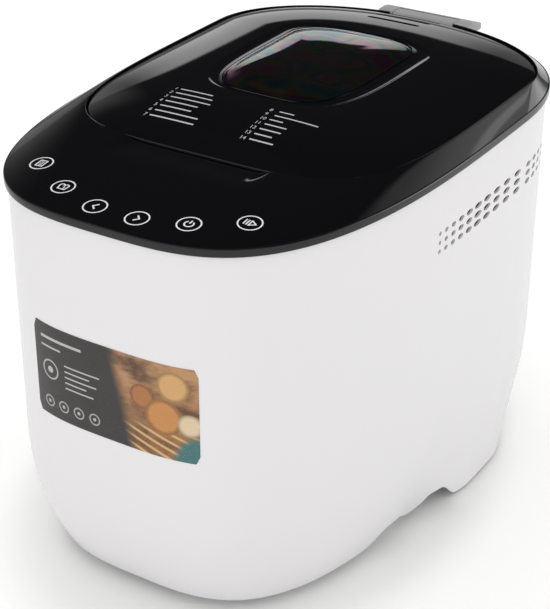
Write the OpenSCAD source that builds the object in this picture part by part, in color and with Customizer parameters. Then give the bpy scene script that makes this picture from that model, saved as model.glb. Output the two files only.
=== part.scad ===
// Bread machine: tub-shaped housing with a domed, windowed lid, a baking
// chamber with a lift-out pan, and a belt drive from a motor at the front.
// Millimetres, +Z up, front towards -Y, origin under the middle of the base.

/* [Housing] */
// Half width of the housing at its widest station
body_half_w = 119.5; // [110:0.5:135]
// Reach of the housing from the widest station to the front
body_front = 244; // [225:1:265]
// Reach of the housing from the widest station to the back
body_rear = 115; // [112:1:130]
// Distance of the widest station behind the middle
wide_y = 60; // [50:1:70]
// Squareness of the front plan curve
front_sq = 3.25; // [2.6:0.05:4]
// Squareness of the rear plan curve
rear_sq = 2.5; // [2.1:0.05:3.2]
// Height of the bottom edge of the housing over the floor
skirt_gap = 6; // [4:0.5:10]
// Height of the top edge of the white housing
shell_top = 235; // [215:1:260]
// Wall of the white housing
wall = 2.6; // [2:0.1:4]
// How far the sides tuck in at the bottom
tuck_side = 14; // [6:0.5:20]
// How far the front tucks in at the bottom
tuck_front = 17; // [6:0.5:24]
// Height over which the walls tuck in
tuck_h = 75; // [40:1:110]

/* [Lifting arches] */
// Front end of the side arch
arch_y0 = -88; // [-100:1:-70]
// Rear end of the side arch
arch_y1 = 104; // [90:1:115]
// Height of the side arch over the floor
arch_h = 23; // [16:0.5:30]
// Length of each curved end of the arch
arch_run = 24; // [14:1:36]

/* [Vents] */
// Columns of vent holes on each side
vent_cols = 10; // [6:1:11]
// Rows of vent holes
vent_rows = 3; // [2:1:4]
// Place of the first column
vent_y0 = -42; // [-55:1:-30]
// Height of the top row
vent_top = 206; // [190:1:212]
// Height step between rows
vent_step = 6.2; // [5.8:0.1:7.5]
// Smallest hole
vent_d0 = 2.2; // [1.5:0.1:3]
// Largest hole
vent_d1 = 4.8; // [3.5:0.1:5.2]
// Columns wrapped round each rear corner
corner_cols = 4; // [2:1:4]

/* [Top frame] */
// Height of the trim strip between housing and frame
trim_h = 5; // [3:0.5:8]
// How far the trim strip stands out
trim_out = 1.8; // [0.8:0.1:3]
// Height of the frame's inner rim over the trim strip
rim_h = 8.2; // [7.4:0.1:9.5]
// Roundness of the frame's slope, where 1 is straight
slope_round = 1.15; // [1.05:0.05:1.5]
// Deck height over the trim strip
deck_t = 3; // [2:0.1:4]
// Gap between the lid and its recess
lid_gap = 0.8; // [0.5:0.1:1.5]
// Half length of the finger recess
grip_half = 50; // [35:1:60]
// Reach of the finger recess in front of the lid
grip_reach = 18; // [10:0.5:22]
// Distance between touch buttons
button_step = 27; // [22:0.5:29]

/* [Lid] */
// Half width of the lid
lid_half_w = 109.5; // [104:0.5:111]
// Front reach of the lid
lid_front = 187.5; // [182:0.5:190]
// Rear reach of the lid
lid_rear = 73.5; // [66:0.5:74]
// Place of the lid's widest station
lid_y = 90; // [86:0.5:91]
// Height of the lid's side wall
lid_side = 3.8; // [3.4:0.1:5]
// Rise of the crown
crown = 12; // [8:0.5:15]
// Lid wall
lid_wall = 2.4; // [1.8:0.1:3]
// Half width of the window
win_half_w = 42; // [32:0.5:48]
// Front reach of the window
win_front = 94.5; // [80:0.5:100]
// Rear reach of the window
win_rear = 25; // [18:0.5:32]
// Rise of the window's dome
dome_rise = 6; // [3:0.5:9]

/* [Hinge] */
// Distance of the hinge axis behind the lid
hinge_back = 9.5; // [9.3:0.1:10.5]
// Height of the hinge over the trim strip
hinge_up = 4.5; // [4.3:0.1:4.8]
// Radius of the hinge pin
pin_r = 1.5; // [1:0.1:1.8]
// Radius of the lid's knuckle
knuckle_r = 3; // [2.6:0.1:3.1]
// Half length of the knuckle
knuckle_half = 22; // [16:0.5:26]
// Half width of the hinge block
hinge_half = 33; // [30:0.5:40]

/* [Chamber] */
// Half width of the baking chamber
chamber_hw = 82; // [80:0.5:84]
// Half length of the baking chamber
chamber_hl = 100; // [98:0.5:101]
// Place of the drive axis and chamber centre
axis_y = 32; // [31:0.5:33]
// Height of the chamber floor
floor_z = 58; // [56:0.5:62]
// Sheet thickness of the chamber
sheet = 1.2; // [0.8:0.1:1.6]
// Radius of the heater tube
heater_r = 3.3; // [2.8:0.1:3.6]

/* [Pan] */
// Half width of the pan at the rim
pan_hw = 66; // [60:0.5:67]
// Half length of the pan at the rim
pan_hl = 84; // [78:0.5:85]
// Height of the pan
pan_h = 133; // [115:1:136]
// Wall of the pan
pan_wall = 1.4; // [1:0.1:2]
// Height of the pan bottom over the chamber floor
pan_lift = 14; // [13.5:0.5:16]
// Radius of the paddle shaft
shaft_r = 4; // [3:0.1:5]
// Sweep radius of the kneading paddle
paddle_r = 38; // [28:1:48]
// Wire radius of the pan's bail
bail_r = 1.8; // [1.4:0.1:2]
// Reach of the bail from its pivots
bail_len = 76; // [60:1:77]

/* [Drive] */
// Pitch radius of the large pulley
big_r = 52; // [40:1:56]
// Pitch radius of the motor pulley
small_r = 9; // [8:0.5:12]
// Distance of the motor axis behind the middle of its bay
motor_back = 4.5; // [0:0.5:8]
// Radius of the motor
motor_r = 36; // [28:1:38]
// Height of the motor body
motor_h = 74; // [60:1:90]
// Radius of the drive shaft
drive_r = 5; // [4:0.1:6]
// Width of the belt
belt_w = 8; // [6:0.5:9]
// Thickness of the belt
belt_t = 1.6; // [1.2:0.1:2.2]

/* [Fit] */
// Radial clearance of a running shaft
run = 0.05; // [0.02:0.01:0.1]
// Clearance between pieces that seat on each other
seat = 0.05; // [0:0.01:0.1]
// Clearance between pieces that pass each other
pass = 0.4; // [0.3:0.05:0.6]

/* [Hidden] */

N = 72;
$fn = 48;
e = 0.01;
front_end = wide_y - body_front;        // foremost point of the housing
motor_y = (front_end + axis_y - chamber_hl) / 2 + motor_back;
post_dy = 26;                           // motor bracket's posts
bracket_hy = motor_r + 1;
rim_z = shell_top + trim_h;             // underside of the frame
deck_z = rim_z + deck_t;                // deck under the lid
plateau = rim_z + rim_h;                // frame's inner rim
panel_y0 = lid_y - lid_front;           // the panel starts at the lid's front edge
lid_z0 = deck_z + pass;                 // bottom edge of the lid
lid_edge = lid_z0 + lid_side;           // top of the lid's side wall
hinge_y = lid_y + lid_rear + hinge_back; // hinge axis
hinge_z = rim_z + hinge_up;
plate_t = 3;
foot_h = skirt_gap;
board_x = -71.3;                        // power board, on edge
board_t = 1.6;
board_y0 = front_end + 63.4;
board_y1 = axis_y - chamber_hl - 10;
plate_top = skirt_gap + plate_t;
floor_top = floor_z + sheet;
pan_z = floor_z + pan_lift;             // outside of the pan's bottom
pan_top = pan_z + pan_h;
pan_floor = pan_z + pan_wall + 0.2;
seat_r = 41;                            // outside of the pan seat
lug_r = 37;
ring_r = 34;                            // pan base
bracket_z = 40;
belt_z = 23;
white = [0.93, 0.93, 0.94];
black = [0.05, 0.05, 0.055];
steel = [0.72, 0.73, 0.75];
dark = [0.16, 0.16, 0.17];

// Signed power, for the plan curves
function spow(v, n) = (v < 0 ? -1 : 1) * pow(abs(v), n);
// Point of a plan curve: t = 0 at the front, counter-clockwise from above
function plan(t, a, bf, br, nf, nr, yc) =
  let (c = cos(t), n = c > 0 ? nf : nr, b = c > 0 ? bf : br)
  [a * spow(sin(t), 2 / n), yc - b * spow(c, 2 / n)];
function plan_curve(a, bf, br, nf, nr, yc) = [for (i = [0:N - 1]) plan(360 * i / N, a, bf, br, nf, nr, yc)];
function at_z(c, z) = [for (p = c) [p[0], p[1], z]];
function mix(c, d, w) = [for (i = [0:N - 1]) c[i] * (1 - w) + d[i] * w];
// Tuck of the wall at height z
function tuck(z, amount) = amount * pow(max(0, 1 - (z - skirt_gap) / tuck_h), 2.2);
// Housing outline at height z, moved in by d
function hull_at(z, d = 0) = plan_curve(body_half_w - tuck(z, tuck_side) - d,
  body_front - tuck(z, tuck_front) - d, body_rear - tuck(z, tuck_side) - d, front_sq, rear_sq, wide_y);
function rim_at(d) = plan_curve(body_half_w - d, body_front - d, body_rear - d, front_sq, rear_sq, wide_y);
function lid_at(d) = plan_curve(lid_half_w - d, lid_front - d, lid_rear - d, 4.6, 2.05, lid_y);
function win_at(d) = plan_curve(win_half_w - d, win_front - d, win_rear - d, 4.5, 2.55, wide_y + 3);
function box_at(hw, hl, n = 7) = plan_curve(hw, hl, hl, n, n, axis_y);
// Half width and front of the housing at a point of its side
function side_x(y, z, d = 0) = let (a = body_half_w - tuck(z, tuck_side) - d, b = (y < wide_y ? body_front - tuck(z, tuck_front) : body_rear - tuck(z, tuck_side)) - d,
  n = y < wide_y ? front_sq : rear_sq) a * pow(max(0, 1 - pow(min(1, abs(y - wide_y) / b), n)), 1 / n);
function front_y(x, z, d = 0) = let (a = body_half_w - tuck(z, tuck_side) - d, b = body_front - tuck(z, tuck_front) - d)
  wide_y - b * pow(1 - pow(min(1, abs(x) / a), front_sq), 1 / front_sq);
// Share of the frame's rise at a share of the way from its outer edge to the lid
function rise_at(w) = 1 - pow(1 - w, slope_round);
function top_at(o, r, w, drop = 0) = [for (p = mix(o, r, w)) [p[0], p[1], rim_z + max(0.4, rim_h * rise_at(w) - drop)]];
// Underside: hollow under the control panel, nearly flat elsewhere
function under_at(o, r, w) = [for (p = mix(o, r, w)) [p[0], p[1], rim_z + (p[1] < panel_y0 - 4 ? max(0.4, rim_h * rise_at(w) - 2.8) : 0.4)]];
// Crown of the lid: u = 0 at the window, 1 at the edge
function crown_z(u) = lid_edge + crown * (1 - pow(u, 2.4));
function crown_at(u, d = 0, lift = 0) = at_z(mix(win_at(0), lid_at(0.6 + d), u), crown_z(u) + lift);
// Vent columns: the pitch and the holes grow towards the back
function vent_y(i) = vent_y0 + 7 * i + 0.46 * i * i;
function vent_d(i) = vent_d0 + (vent_d1 - vent_d0) * min(1, i / 6);

// Skin through a stack of closed rings
function skin_faces(n, closed) = [for (k = [0:n - (closed ? 1 : 2)], i = [0:N - 1])
    let (a = k * N + i, b = k * N + (i + 1) % N, c = ((k + 1) % n) * N + (i + 1) % N, d = ((k + 1) % n) * N + i)
    each [[a, d, c], [a, c, b]]];
module skin_loop(rings) {
  polyhedron([for (r = rings) each r], skin_faces(len(rings), true), 10);
}
module skin_solid(rings) {
  m = len(rings);
  polyhedron([for (r = rings) each r], concat(skin_faces(m, false),
    [[for (i = [0:N - 1]) i]], [[for (i = [0:N - 1]) (m - 1) * N + N - 1 - i]]), 10);
}
module slab(curve, z0, z1) { translate([0, 0, z0]) linear_extrude(z1 - z0) polygon(curve); }
module rod(p, r, h, axis = "z") {
  translate(p) rotate(axis == "x" ? [0, 90, 0] : axis == "y" ? [-90, 0, 0] : [0, 0, 0]) cylinder(r = r, h = h);
}
module tube(p, r, bore, h) { difference() { rod(p, r, h); rod(p - [0, 0, 1], bore, h + 2); } }
module block(x0, x1, y0, y1, z0, z1) { translate([x0, y0, z0]) cube([x1 - x0, y1 - y0, z1 - z0]); }
module both_sides() { children(); mirror([1, 0, 0]) children(); }

// Side profile of the arch, cut through both walls
module arch_cut() {
  s = [for (i = [0:8]) let (w = i / 8) [w * arch_run, (arch_h - skirt_gap + 1) * (1 - cos(180 * w)) / 2]];
  p = concat([for (q = s) [arch_y0 + q[0], skirt_gap - 1 + q[1]]],
    [for (i = [8:-1:0]) [arch_y1 - s[i][0], skirt_gap - 1 + s[i][1]]]);
  rotate([90, 0, 90]) translate([0, 0, -200]) linear_extrude(400) polygon(p);
}
module vent_holes() {
  both_sides() {
    for (j = [0:vent_rows - 1], i = [0:vent_cols - 1])
      rod([side_x(vent_y(i), vent_top) - 8, vent_y(i), vent_top - j * vent_step], vent_d(i) / 2, 16, "x");
    for (j = [0:vent_rows - 1], i = [0:corner_cols - 1])
      let (t = 124 + 9 * i, p = plan(t, body_half_w, body_front, body_rear, front_sq, rear_sq, wide_y),
        q = plan(t + 1, body_half_w, body_front, body_rear, front_sq, rear_sq, wide_y), g = atan2(q[1] - p[1], q[0] - p[0]) - 90)
      translate([p[0], p[1], vent_top - j * vent_step]) rotate([0, 0, g]) rotate([0, 90, 0])
        translate([0, 0, -8]) cylinder(d = vent_d0 + (vent_d1 - vent_d0) * min(1, i / 2), h = 16);
  }
}
inlet_x = -70; inlet_z = 34;
inlet_u = abs(inlet_x) / body_half_w;
inlet_y = wide_y + body_rear * pow(1 - pow(inlet_u, rear_sq), 1 / rear_sq);
inlet_turn = atan(body_rear / body_half_w * pow(inlet_u, rear_sq - 1) * pow(1 - pow(inlet_u, rear_sq), 1 / rear_sq - 1));
boss_xy = [[66, front_end + 57], [76, wide_y + body_rear - 57]];

module body_shell() {
  up = [0, 2, 6, 13, 24, 38, 56, 80, 120, 170];
  out_rings = concat([for (h = up) at_z(hull_at(skirt_gap + h, h == 0 ? 0.8 : 0), skirt_gap + h)], [at_z(hull_at(shell_top), shell_top)]);
  in_rings = concat([at_z(hull_at(shell_top, wall), shell_top)], [for (k = [9:-1:0]) at_z(hull_at(skirt_gap + up[k], wall), skirt_gap + up[k])]);
  color(white) difference() {
    union() {
      skin_loop(concat(out_rings, in_rings));
      // screw bosses, each on a rib from the wall
      for (p = boss_xy) both_sides() {
        rod([p[0], p[1], plate_top + seat], 4.5, 22);
        intersection() {
          slab(hull_at(plate_top, wall / 2), plate_top + seat, plate_top + 12);
          block(p[0], 140, p[1] - 1.2, p[1] + 1.2, 0, 60);
        }
      }
    }
    for (p = boss_xy) both_sides() rod([p[0], p[1], 0], 1.6, plate_top + 18);
    arch_cut();
    vent_holes();
    translate([inlet_x, inlet_y, inlet_z]) rotate([0, 0, inlet_turn]) rod([0, -22, 0], 6, 40, "y");
  }
}

module base_plate() {
  in_h = [for (p = hull_at(skirt_gap, wall + pass)) p];
  color(white) {
    difference() {
      union() {
        slab(in_h, skirt_gap, plate_top);
        both_sides() {
          // inner wall and roof of the lifting arch
          intersection() {
            difference() {
              union() {
                slab(hull_at(skirt_gap, wall + pass + 3), plate_top - e, arch_h + 8);
                slab(hull_at(arch_h + 5, wall + pass), arch_h + 5.5, arch_h + 8);
              }
              slab(hull_at(skirt_gap, wall + pass + 5.5), 0, 60);
            }
            block(40, 140, arch_y0 - 3, arch_y1 + 3, 0, 60);
          }
          // rounded pads under the arch
          for (y = [-42, -2]) intersection() {
            translate([side_x(y, skirt_gap) - 17, y, 16]) sphere(r = 14, $fn = 32);
            block(60, 130, -100, 100, 2.4, plate_top - e);
          }
          // rails of the power board and posts of the motor bracket
          for (y = [motor_y - post_dy, motor_y + post_dy]) tube([40, y, plate_top - e], 5, 1.6, bracket_z - plate_top + e);
        }
        for (x = [board_x - 1.3, board_x + board_t + 1.3]) block(x - 1, x + 1, board_y0 - 1, board_y1 + 1, plate_top - e, plate_top + 8);
      }
      for (y = [20:12:116]) block(-34, 34, y, y + 5, 0, plate_top + 1);
      for (k = [0:5]) block(-24, 24, front_end + 25 + 12 * k, front_end + 30 + 12 * k, 0, plate_top + 1);
      for (p = boss_xy) both_sides() rod([p[0], p[1], 0], 1.6, 30);
      both_sides() for (y = [motor_y - post_dy, motor_y + post_dy]) rod([40, y, 0], 1.6, 60);
    }
  }
}

foot_xy = [[50, motor_y - 16], [52, wide_y + body_rear - 63]];
module base_feet() {
  color(dark) for (p = foot_xy) both_sides() translate([p[0], p[1], 0])
    rotate_extrude() polygon([[0, 0], [8.5, 0], [10, 1.5], [10, foot_h], [0, foot_h]]);
}
module screw(p, len, r = 1.5, head = 3, up = 1) {
  translate(p) rotate(up > 0 ? [0, 0, 0] : [180, 0, 0]) {
    difference() {
      rod([0, 0, -2], head, 2);
      block(-2.2, 2.2, -0.4, 0.4, -3, -1.2);
      block(-0.4, 0.4, -2.2, 2.2, -3, -1.2);
    }
    rod([0, 0, -e], r, len);
  }
}
module base_screws() {
  color(steel) {
    for (p = boss_xy) both_sides() screw([p[0], p[1], skirt_gap], 11);
    both_sides() for (y = [motor_y - post_dy, motor_y + post_dy]) screw([40, y, skirt_gap], bracket_z + 3 - skirt_gap);
  }
}
module cord_inlet() {
  w = -tuck(inlet_z, tuck_side);
  color(dark) translate([inlet_x, inlet_y, inlet_z]) rotate([-90, 0, inlet_turn]) rotate_extrude()
    polygon([[3.5, w - 13], [5.6, w - 13], [5.6, w + 2.2], [8, w + 3], [8, w + 5.4], [5.4, w + 7], [4.6, w + 19], [3.5, w + 19]]);
}

module trim_ring() {
  color([0.2, 0.2, 0.21]) skin_loop([at_z(rim_at(-trim_out + 0.6), shell_top), at_z(rim_at(-trim_out), shell_top + 0.8),
    at_z(rim_at(-trim_out), rim_z - 0.9), at_z(rim_at(-trim_out + 0.7), rim_z), at_z(rim_at(7), rim_z), at_z(rim_at(7), shell_top)]);
}

bay_y0 = lid_y + lid_rear + lid_gap - 0.1;
module top_frame() {
  rim = lid_at(-lid_gap);
  edge = rim_at(-0.8);
  mouth = box_at(chamber_hw, chamber_hl);
  color(black) {
    difference() {
      skin_loop([at_z(edge, rim_z), top_at(edge, rim, 0.05), top_at(edge, rim, 0.14), top_at(edge, rim, 0.3), top_at(edge, rim, 0.5),
        top_at(edge, rim, 0.75), top_at(edge, rim, 1), at_z(rim, deck_z), at_z(mouth, deck_z), at_z(mouth, rim_z),
        at_z(mix(edge, rim, 0.8), rim_z), under_at(edge, rim, 0.8), under_at(edge, rim, 0.5), under_at(edge, rim, 0.25),
        at_z(mix(edge, rim, 0.25), rim_z)]);
      // finger recess in front of the lid
      intersection() {
        let (r = (pow(grip_reach + 3, 2) + 23) / 9.6) translate([0, panel_y0 + 3, deck_z + 0.4 + r])
          rotate([0, 90, 0]) cylinder(r = r, h = 2 * grip_half, center = true, $fn = 96);
        block(-grip_half, grip_half, panel_y0 - grip_reach - 4, panel_y0 + 1, deck_z, plateau + 5);
      }
      // bay of the hinge block, and the way of the lid's tongue
      block(-hinge_half - 0.3, hinge_half + 0.3, bay_y0, wide_y + body_rear + 10, rim_z - 1, plateau + 1);
      block(-knuckle_half - 1.6, knuckle_half + 1.6, hinge_y - 13, hinge_y, deck_z, plateau + 1);
    }
    // bosses of the touch board
    for (p = [[74, panel_y0 - 14, 4.6], [56, panel_y0 - 60, 1]]) both_sides() rod([p[0], p[1], rim_z - 3.2], 3, 3.2 + p[2]);
  }
}
button_y = [for (k = [0.5, 1.5, 2.5]) front_y(k * button_step, shell_top) + (k < 1 ? 14 : k < 2 ? 20 : 24.5)];
module touch_board() {
  color([0.1, 0.35, 0.18]) intersection() {
    slab(rim_at(wall + 6), rim_z - 4.8, rim_z - 3.2);
    block(-84, 84, panel_y0 - 80, panel_y0 - 8, 0, 300);
  }
}
module touch_pads() {
  color(steel) for (i = [0:2]) both_sides() tube([(i + 0.5) * button_step, button_y[i], rim_z - 3.2 + seat], 5, 3.6, 3.1 - seat);
}

module hinge_block() {
  y0 = hinge_y - 8.6; y1 = trim_out - front_end; z0 = rim_z + seat; z1 = hinge_z + knuckle_r + 0.2;
  color([0.12, 0.12, 0.13]) difference() {
    rotate([90, 0, 90]) translate([0, 0, -hinge_half]) linear_extrude(2 * hinge_half)
      polygon([[y0, z0], [y1, z0], [y1, z1 - 3.4], [y1 - 0.8, z1 - 2.6], [hinge_y + 1, z1], [y0 + 2, z1], [y0, z1 - 2]]);
    block(-knuckle_half - 1.4, knuckle_half + 1.4, y0 - 1, hinge_y + knuckle_r + 1.4, z0 - 1, z1 + 1);
    rod([-hinge_half + 4, hinge_y, hinge_z], pin_r + 0.02, 2 * hinge_half - 8, "x");
  }
}
module hinge_pin() {
  color(steel) rod([-hinge_half + 4.3, hinge_y, hinge_z], pin_r, 2 * hinge_half - 8.6, "x");
}

slot_y = lid_y + 34;
slot_step = 13;
module lid_shell() {
  o = [1, 0.97, 0.93, 0.86, 0.76, 0.62, 0.45, 0.25, 0.09];
  color(black) difference() {
    union() {
      skin_loop(concat([at_z(lid_at(0), lid_z0), at_z(lid_at(0), lid_edge - 0.8)],
        [for (u = o) crown_at(u)], [crown_at(0.075, 0, 0.8), crown_at(0.015, 0, 1), crown_at(0, 0, 0.4), crown_at(0, 0, -lid_wall)],
        [for (k = [7:-1:1]) crown_at(o[k], 0, -lid_wall)], [at_z(lid_at(lid_wall), lid_edge - 1.6), at_z(lid_at(lid_wall), lid_z0)]));
      // tongue and knuckle of the hinge
      block(-knuckle_half, knuckle_half, hinge_y - 12, hinge_y, lid_z0, lid_edge);
      rod([-knuckle_half, hinge_y, hinge_z], knuckle_r, 2 * knuckle_half, "x");
      // bosses for the liner's screws
      for (p = lid_screw_xy) both_sides() rod([p[0], p[1], liner_z - 3.8 + seat], 4, crown_z(p[2]) - lid_wall / 2 - liner_z + 3.8);
    }
    for (p = lid_screw_xy) both_sides() rod([p[0], p[1], liner_z - 5], 1.3, 14);
    rod([-knuckle_half - 1, hinge_y, hinge_z], pin_r + run, 2 * knuckle_half + 2, "x");
    for (k = [0:2]) {
      block(-16.5 - k, 16.5 + k, slot_y + slot_step * k - 1.2, slot_y + slot_step * k + 1.2, lid_edge, lid_edge + 30);
      for (s = [-16.5 - k, 16.5 + k]) rod([s, slot_y + slot_step * k, lid_edge], 1.2, 30);
    }
  }
}
module lid_window() {
  zb = crown_z(0) - lid_wall + 0.2;
  f = [1, 0.97, 0.9, 0.78, 0.6, 0.4, 0.2, 0.06];
  c = win_at(0.25); m = [0, wide_y + 3 - (win_front - win_rear) / 2];
  function scaled(s, d) = [for (p = c) m + (p - m) * s * (1 - d)];
  function dz(s) = crown_z(0) + 0.4 + dome_rise * (1 - pow(s, 2.6));
  color([0.75, 0.8, 0.85, 0.35]) skin_solid(concat(
    [for (k = [7:-1:1]) at_z(scaled(f[k], 0.03), dz(f[k]) - 2)], [at_z(scaled(1, 0.03), zb), at_z(scaled(1, 0), zb)],
    [for (k = [0:7]) at_z(scaled(f[k], 0), dz(f[k]))]));
}
spigot = 3;
liner_z = lid_z0 + 0.1;
module lid_liner() {
  rimc = lid_at(lid_wall + 0.3);
  a = box_at(chamber_hw - spigot - 1.2, chamber_hl - spigot - 1.2);
  b = box_at(chamber_hw - spigot, chamber_hl - spigot);
  w = win_at(2);
  z1 = liner_z + 1.2; z2 = liner_z - 5; z3 = z2 + 1.2;
  color(steel) difference() {
    skin_loop([at_z(rimc, liner_z), at_z(rimc, z1), at_z(a, z1), at_z(a, z3), at_z(w, z3), at_z(w, z2), at_z(b, z2), at_z(b, liner_z)]);
    for (p = lid_screw_xy) both_sides() rod([p[0], p[1], z2 - 1], 1.7, 20);
  }
}
lid_screw_xy = [[62, -36, 0.31], [62, 100, 0.43]];
module inner_glass() {
  color([0.8, 0.85, 0.88, 0.35]) skin_solid([at_z(win_at(-5), liner_z - 3.8 + seat), at_z(win_at(-5), liner_z - 1)]);
}
module lid_seal() {
  a = box_at(chamber_hw - pass, chamber_hl - pass);
  b = box_at(chamber_hw - spigot + seat, chamber_hl - spigot + seat);
  color([0.75, 0.76, 0.78]) skin_loop([at_z(a, liner_z - 2.8), at_z(a, liner_z - seat), at_z(b, liner_z - seat), at_z(b, liner_z - 2.8)]);
}
module lid_screws() {
  color(steel) for (p = lid_screw_xy) both_sides() {
    rod([p[0], p[1], liner_z - 5 - seat - e], 1.2, 12);
    translate([p[0], p[1], liner_z - 6.6 - seat]) cylinder(r1 = 2.2, r2 = 3, h = 1.6);
  }
}

module chamber() {
  o = box_at(chamber_hw + sheet, chamber_hl + sheet);
  i = box_at(chamber_hw, chamber_hl);
  ob = box_at(chamber_hw - 3 + sheet, chamber_hl - 3 + sheet, 5);
  ib = box_at(chamber_hw - 3, chamber_hl - 3, 5);
  f = box_at(chamber_hw + 8, chamber_hl + 8);
  color([0.6, 0.61, 0.63]) difference() {
    skin_solid([at_z(mix(ob, [for (p = ob) [0, axis_y]], 0.05), floor_z), at_z(ob, floor_z + 5), at_z(o, rim_z - sheet - 40), at_z(o, rim_z - sheet), at_z(f, rim_z - sheet), at_z(f, rim_z),
      at_z(i, rim_z), at_z(i, rim_z - sheet - 40), at_z(ib, floor_top + 5), at_z(mix(ib, [for (p = ib) [0, axis_y]], 0.05), floor_top)]);
    rod([0, axis_y, floor_z - 1], bearing_r + 0.2, 8);
    both_sides() rod([18, axis_y - chamber_hl - 20, heater_z], heater_r + 0.3, 40, "y");
    rod([40, axis_y - chamber_hl - 20, 120], 2.8, 40, "y");
  }
}
bearing_r = 12;
heater_z = floor_top + 3 + heater_r;
heater_hw = chamber_hw - 16; heater_hl = chamber_hl - 16; heater_cr = 24;
module heater_tube() {
  y0 = axis_y - heater_hl; y1 = axis_y + heater_hl; x1 = heater_hw; r = heater_cr;
  color([0.3, 0.3, 0.31]) {
    both_sides() {
      rod([x1, y0 + r, heater_z], heater_r, y1 - y0 - 2 * r, "y");
      translate([x1 - r, y0 + r, heater_z]) rotate([0, 0, -90]) rotate_extrude(angle = 90) translate([r, 0]) circle(heater_r, $fn = 24);
      translate([x1 - r, y1 - r, heater_z]) rotate_extrude(angle = 90) translate([r, 0]) circle(heater_r, $fn = 24);
      rod([18 + 8, y0, heater_z], heater_r, x1 - r - 26, "x");
      translate([26, y0 - 8, heater_z]) rotate([0, 0, 90]) rotate_extrude(angle = 90) translate([8, 0]) circle(heater_r, $fn = 24);
      rod([18, axis_y - chamber_hl - 16, heater_z], heater_r, chamber_hl + 16 - heater_hl - 8, "y");
    }
    rod([-x1 + r, y1, heater_z], heater_r, 2 * (x1 - r), "x");
  }
}
module heater_clips() {
  color(steel) both_sides() for (y = [axis_y - 40, axis_y + 40]) difference() {
    block(heater_hw - 5, heater_hw + 5, y - 4, y + 4, floor_top, heater_z + 1);
    rod([heater_hw, y - 5, heater_z], heater_r + seat, 10, "y");
  }
}
module temp_probe() {
  color(steel) {
    rod([40, axis_y - chamber_hl - 12, 120], 2.5, 20, "y");
    rod([40, axis_y - chamber_hl - 6, 120], 4.5, 6 - sheet - 0.1, "y");
  }
}

lug_w = 5; lip_w = 5.5;
module sector(r0, r1, a, w, h) {
  rotate([0, 0, a - w]) rotate_extrude(angle = 2 * w) translate([r0, 0]) square([r1 - r0, h]);
}
module pan_seat() {
  h = 7.6; r = lug_r + pass + 0.2; t = 1.4;
  color(steel) translate([0, axis_y, floor_top]) {
    rotate_extrude() polygon([[27, 0], [seat_r + 4, 0], [seat_r + 4, t], [seat_r, t], [seat_r, h], [r, h], [r, t], [27, t]]);
    for (a = [30, 150, 270]) translate([0, 0, h - 1.8]) sector(ring_r + 0.5, seat_r - 1, a, lip_w, t);
  }
}

module bread_pan() {
  t = pan_wall;
  o = box_at(pan_hw, pan_hl); i = box_at(pan_hw - t, pan_hl - t);
  ob = box_at(pan_hw - 6, pan_hl - 6); ib = box_at(pan_hw - 6 - t, pan_hl - 6 - t);
  r0 = box_at(pan_hw + 3, pan_hl + 3); r1 = box_at(pan_hw + 3.6, pan_hl + 3.6);
  hole = plan_curve(20, 20, 20, 2, 2, axis_y);
  color([0.32, 0.32, 0.34]) {
    skin_loop([at_z(hole, pan_z), at_z(mix(ob, hole, 0.06), pan_z), at_z(mix(ob, hole, 0.012), pan_z + 1.6), at_z(ob, pan_z + 5), at_z(o, pan_top - 3), at_z(r1, pan_top - 3), at_z(r1, pan_top - 1), at_z(r0, pan_top), at_z(i, pan_top),
      at_z(ib, pan_floor + 5), at_z(mix(ib, hole, 0.02), pan_floor + 1.5), at_z(mix(ib, hole, 0.07), pan_floor), at_z(hole, pan_floor)]);
    translate([0, axis_y, pan_z]) rotate_extrude() translate([bush_r + 0.02, 0]) square([20.5 - bush_r, pan_floor - pan_z]);
  }
}
bush_r = 8;
module pan_base() {
  z0 = floor_top + 1.4 + 0.4; z1 = pan_z - seat;
  color([0.55, 0.56, 0.58]) translate([0, axis_y, 0]) {
    difference() {
      rod([0, 0, z0], ring_r, z1 - z0);
      rod([0, 0, z0 - 1], ring_r - 3, z1 - z0 - 0.8);
      rod([0, 0, z0], bush_r + 0.02, 30);
    }
    for (a = [30, 150, 270]) translate([0, 0, floor_top + 2.6]) sector(ring_r - 1, lug_r, a, lug_w, 2.6);
  }
}
module pan_bush() {
  color([0.7, 0.6, 0.35]) translate([0, axis_y, 0]) difference() {
    union() { rod([0, 0, pan_z - 3.6], bush_r, pan_floor - pan_z + 4.6); rod([0, 0, pan_floor + 0.02], bush_r + 1.6, 1); }
    rod([0, 0, pan_z - 10], shaft_r + run, 30);
  }
}
bail_z = pan_top + 4;
bail_x = pan_hw - 4.5;
module bail_ears() {
  color(steel) both_sides() difference() {
    union() {
      block(bail_x + 2.2, bail_x + 4.4, axis_y - 6, axis_y + 6, pan_top + seat, pan_top + 1.4);
      block(bail_x + 2.2, bail_x + 4.4, axis_y - 3.9, axis_y + 3.9, pan_top + seat, bail_z);
      rod([bail_x + 2.2, axis_y, bail_z], 3.9, 2.2, "x");
    }
    rod([bail_x, axis_y, bail_z], 1.3 + run, 6, "x");
  }
}
// The bail lies on the rim, so it droops a little from its pivots
bail_droop = asin((bail_z - bail_r - 0.3 - pan_top) / bail_len);
module bail() {
  r = bail_r; c = 12; y1 = axis_y + bail_len;
  color(steel) translate([0, axis_y, bail_z]) rotate([-bail_droop, 0, 0]) translate([0, -axis_y, -bail_z]) {
    both_sides() {
      rod([bail_x, axis_y, bail_z], r, bail_len - c, "y");
      translate([bail_x, axis_y, bail_z]) sphere(r = r, $fn = 24);
      rod([bail_x, axis_y, bail_z], 1.3, 4.2, "x");
      translate([bail_x - c, y1 - c, bail_z]) rotate_extrude(angle = 90) translate([c, 0]) circle(r, $fn = 24);
    }
    rod([-bail_x + c, y1, bail_z], r, 2 * (bail_x - c), "x");
  }
}

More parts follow.
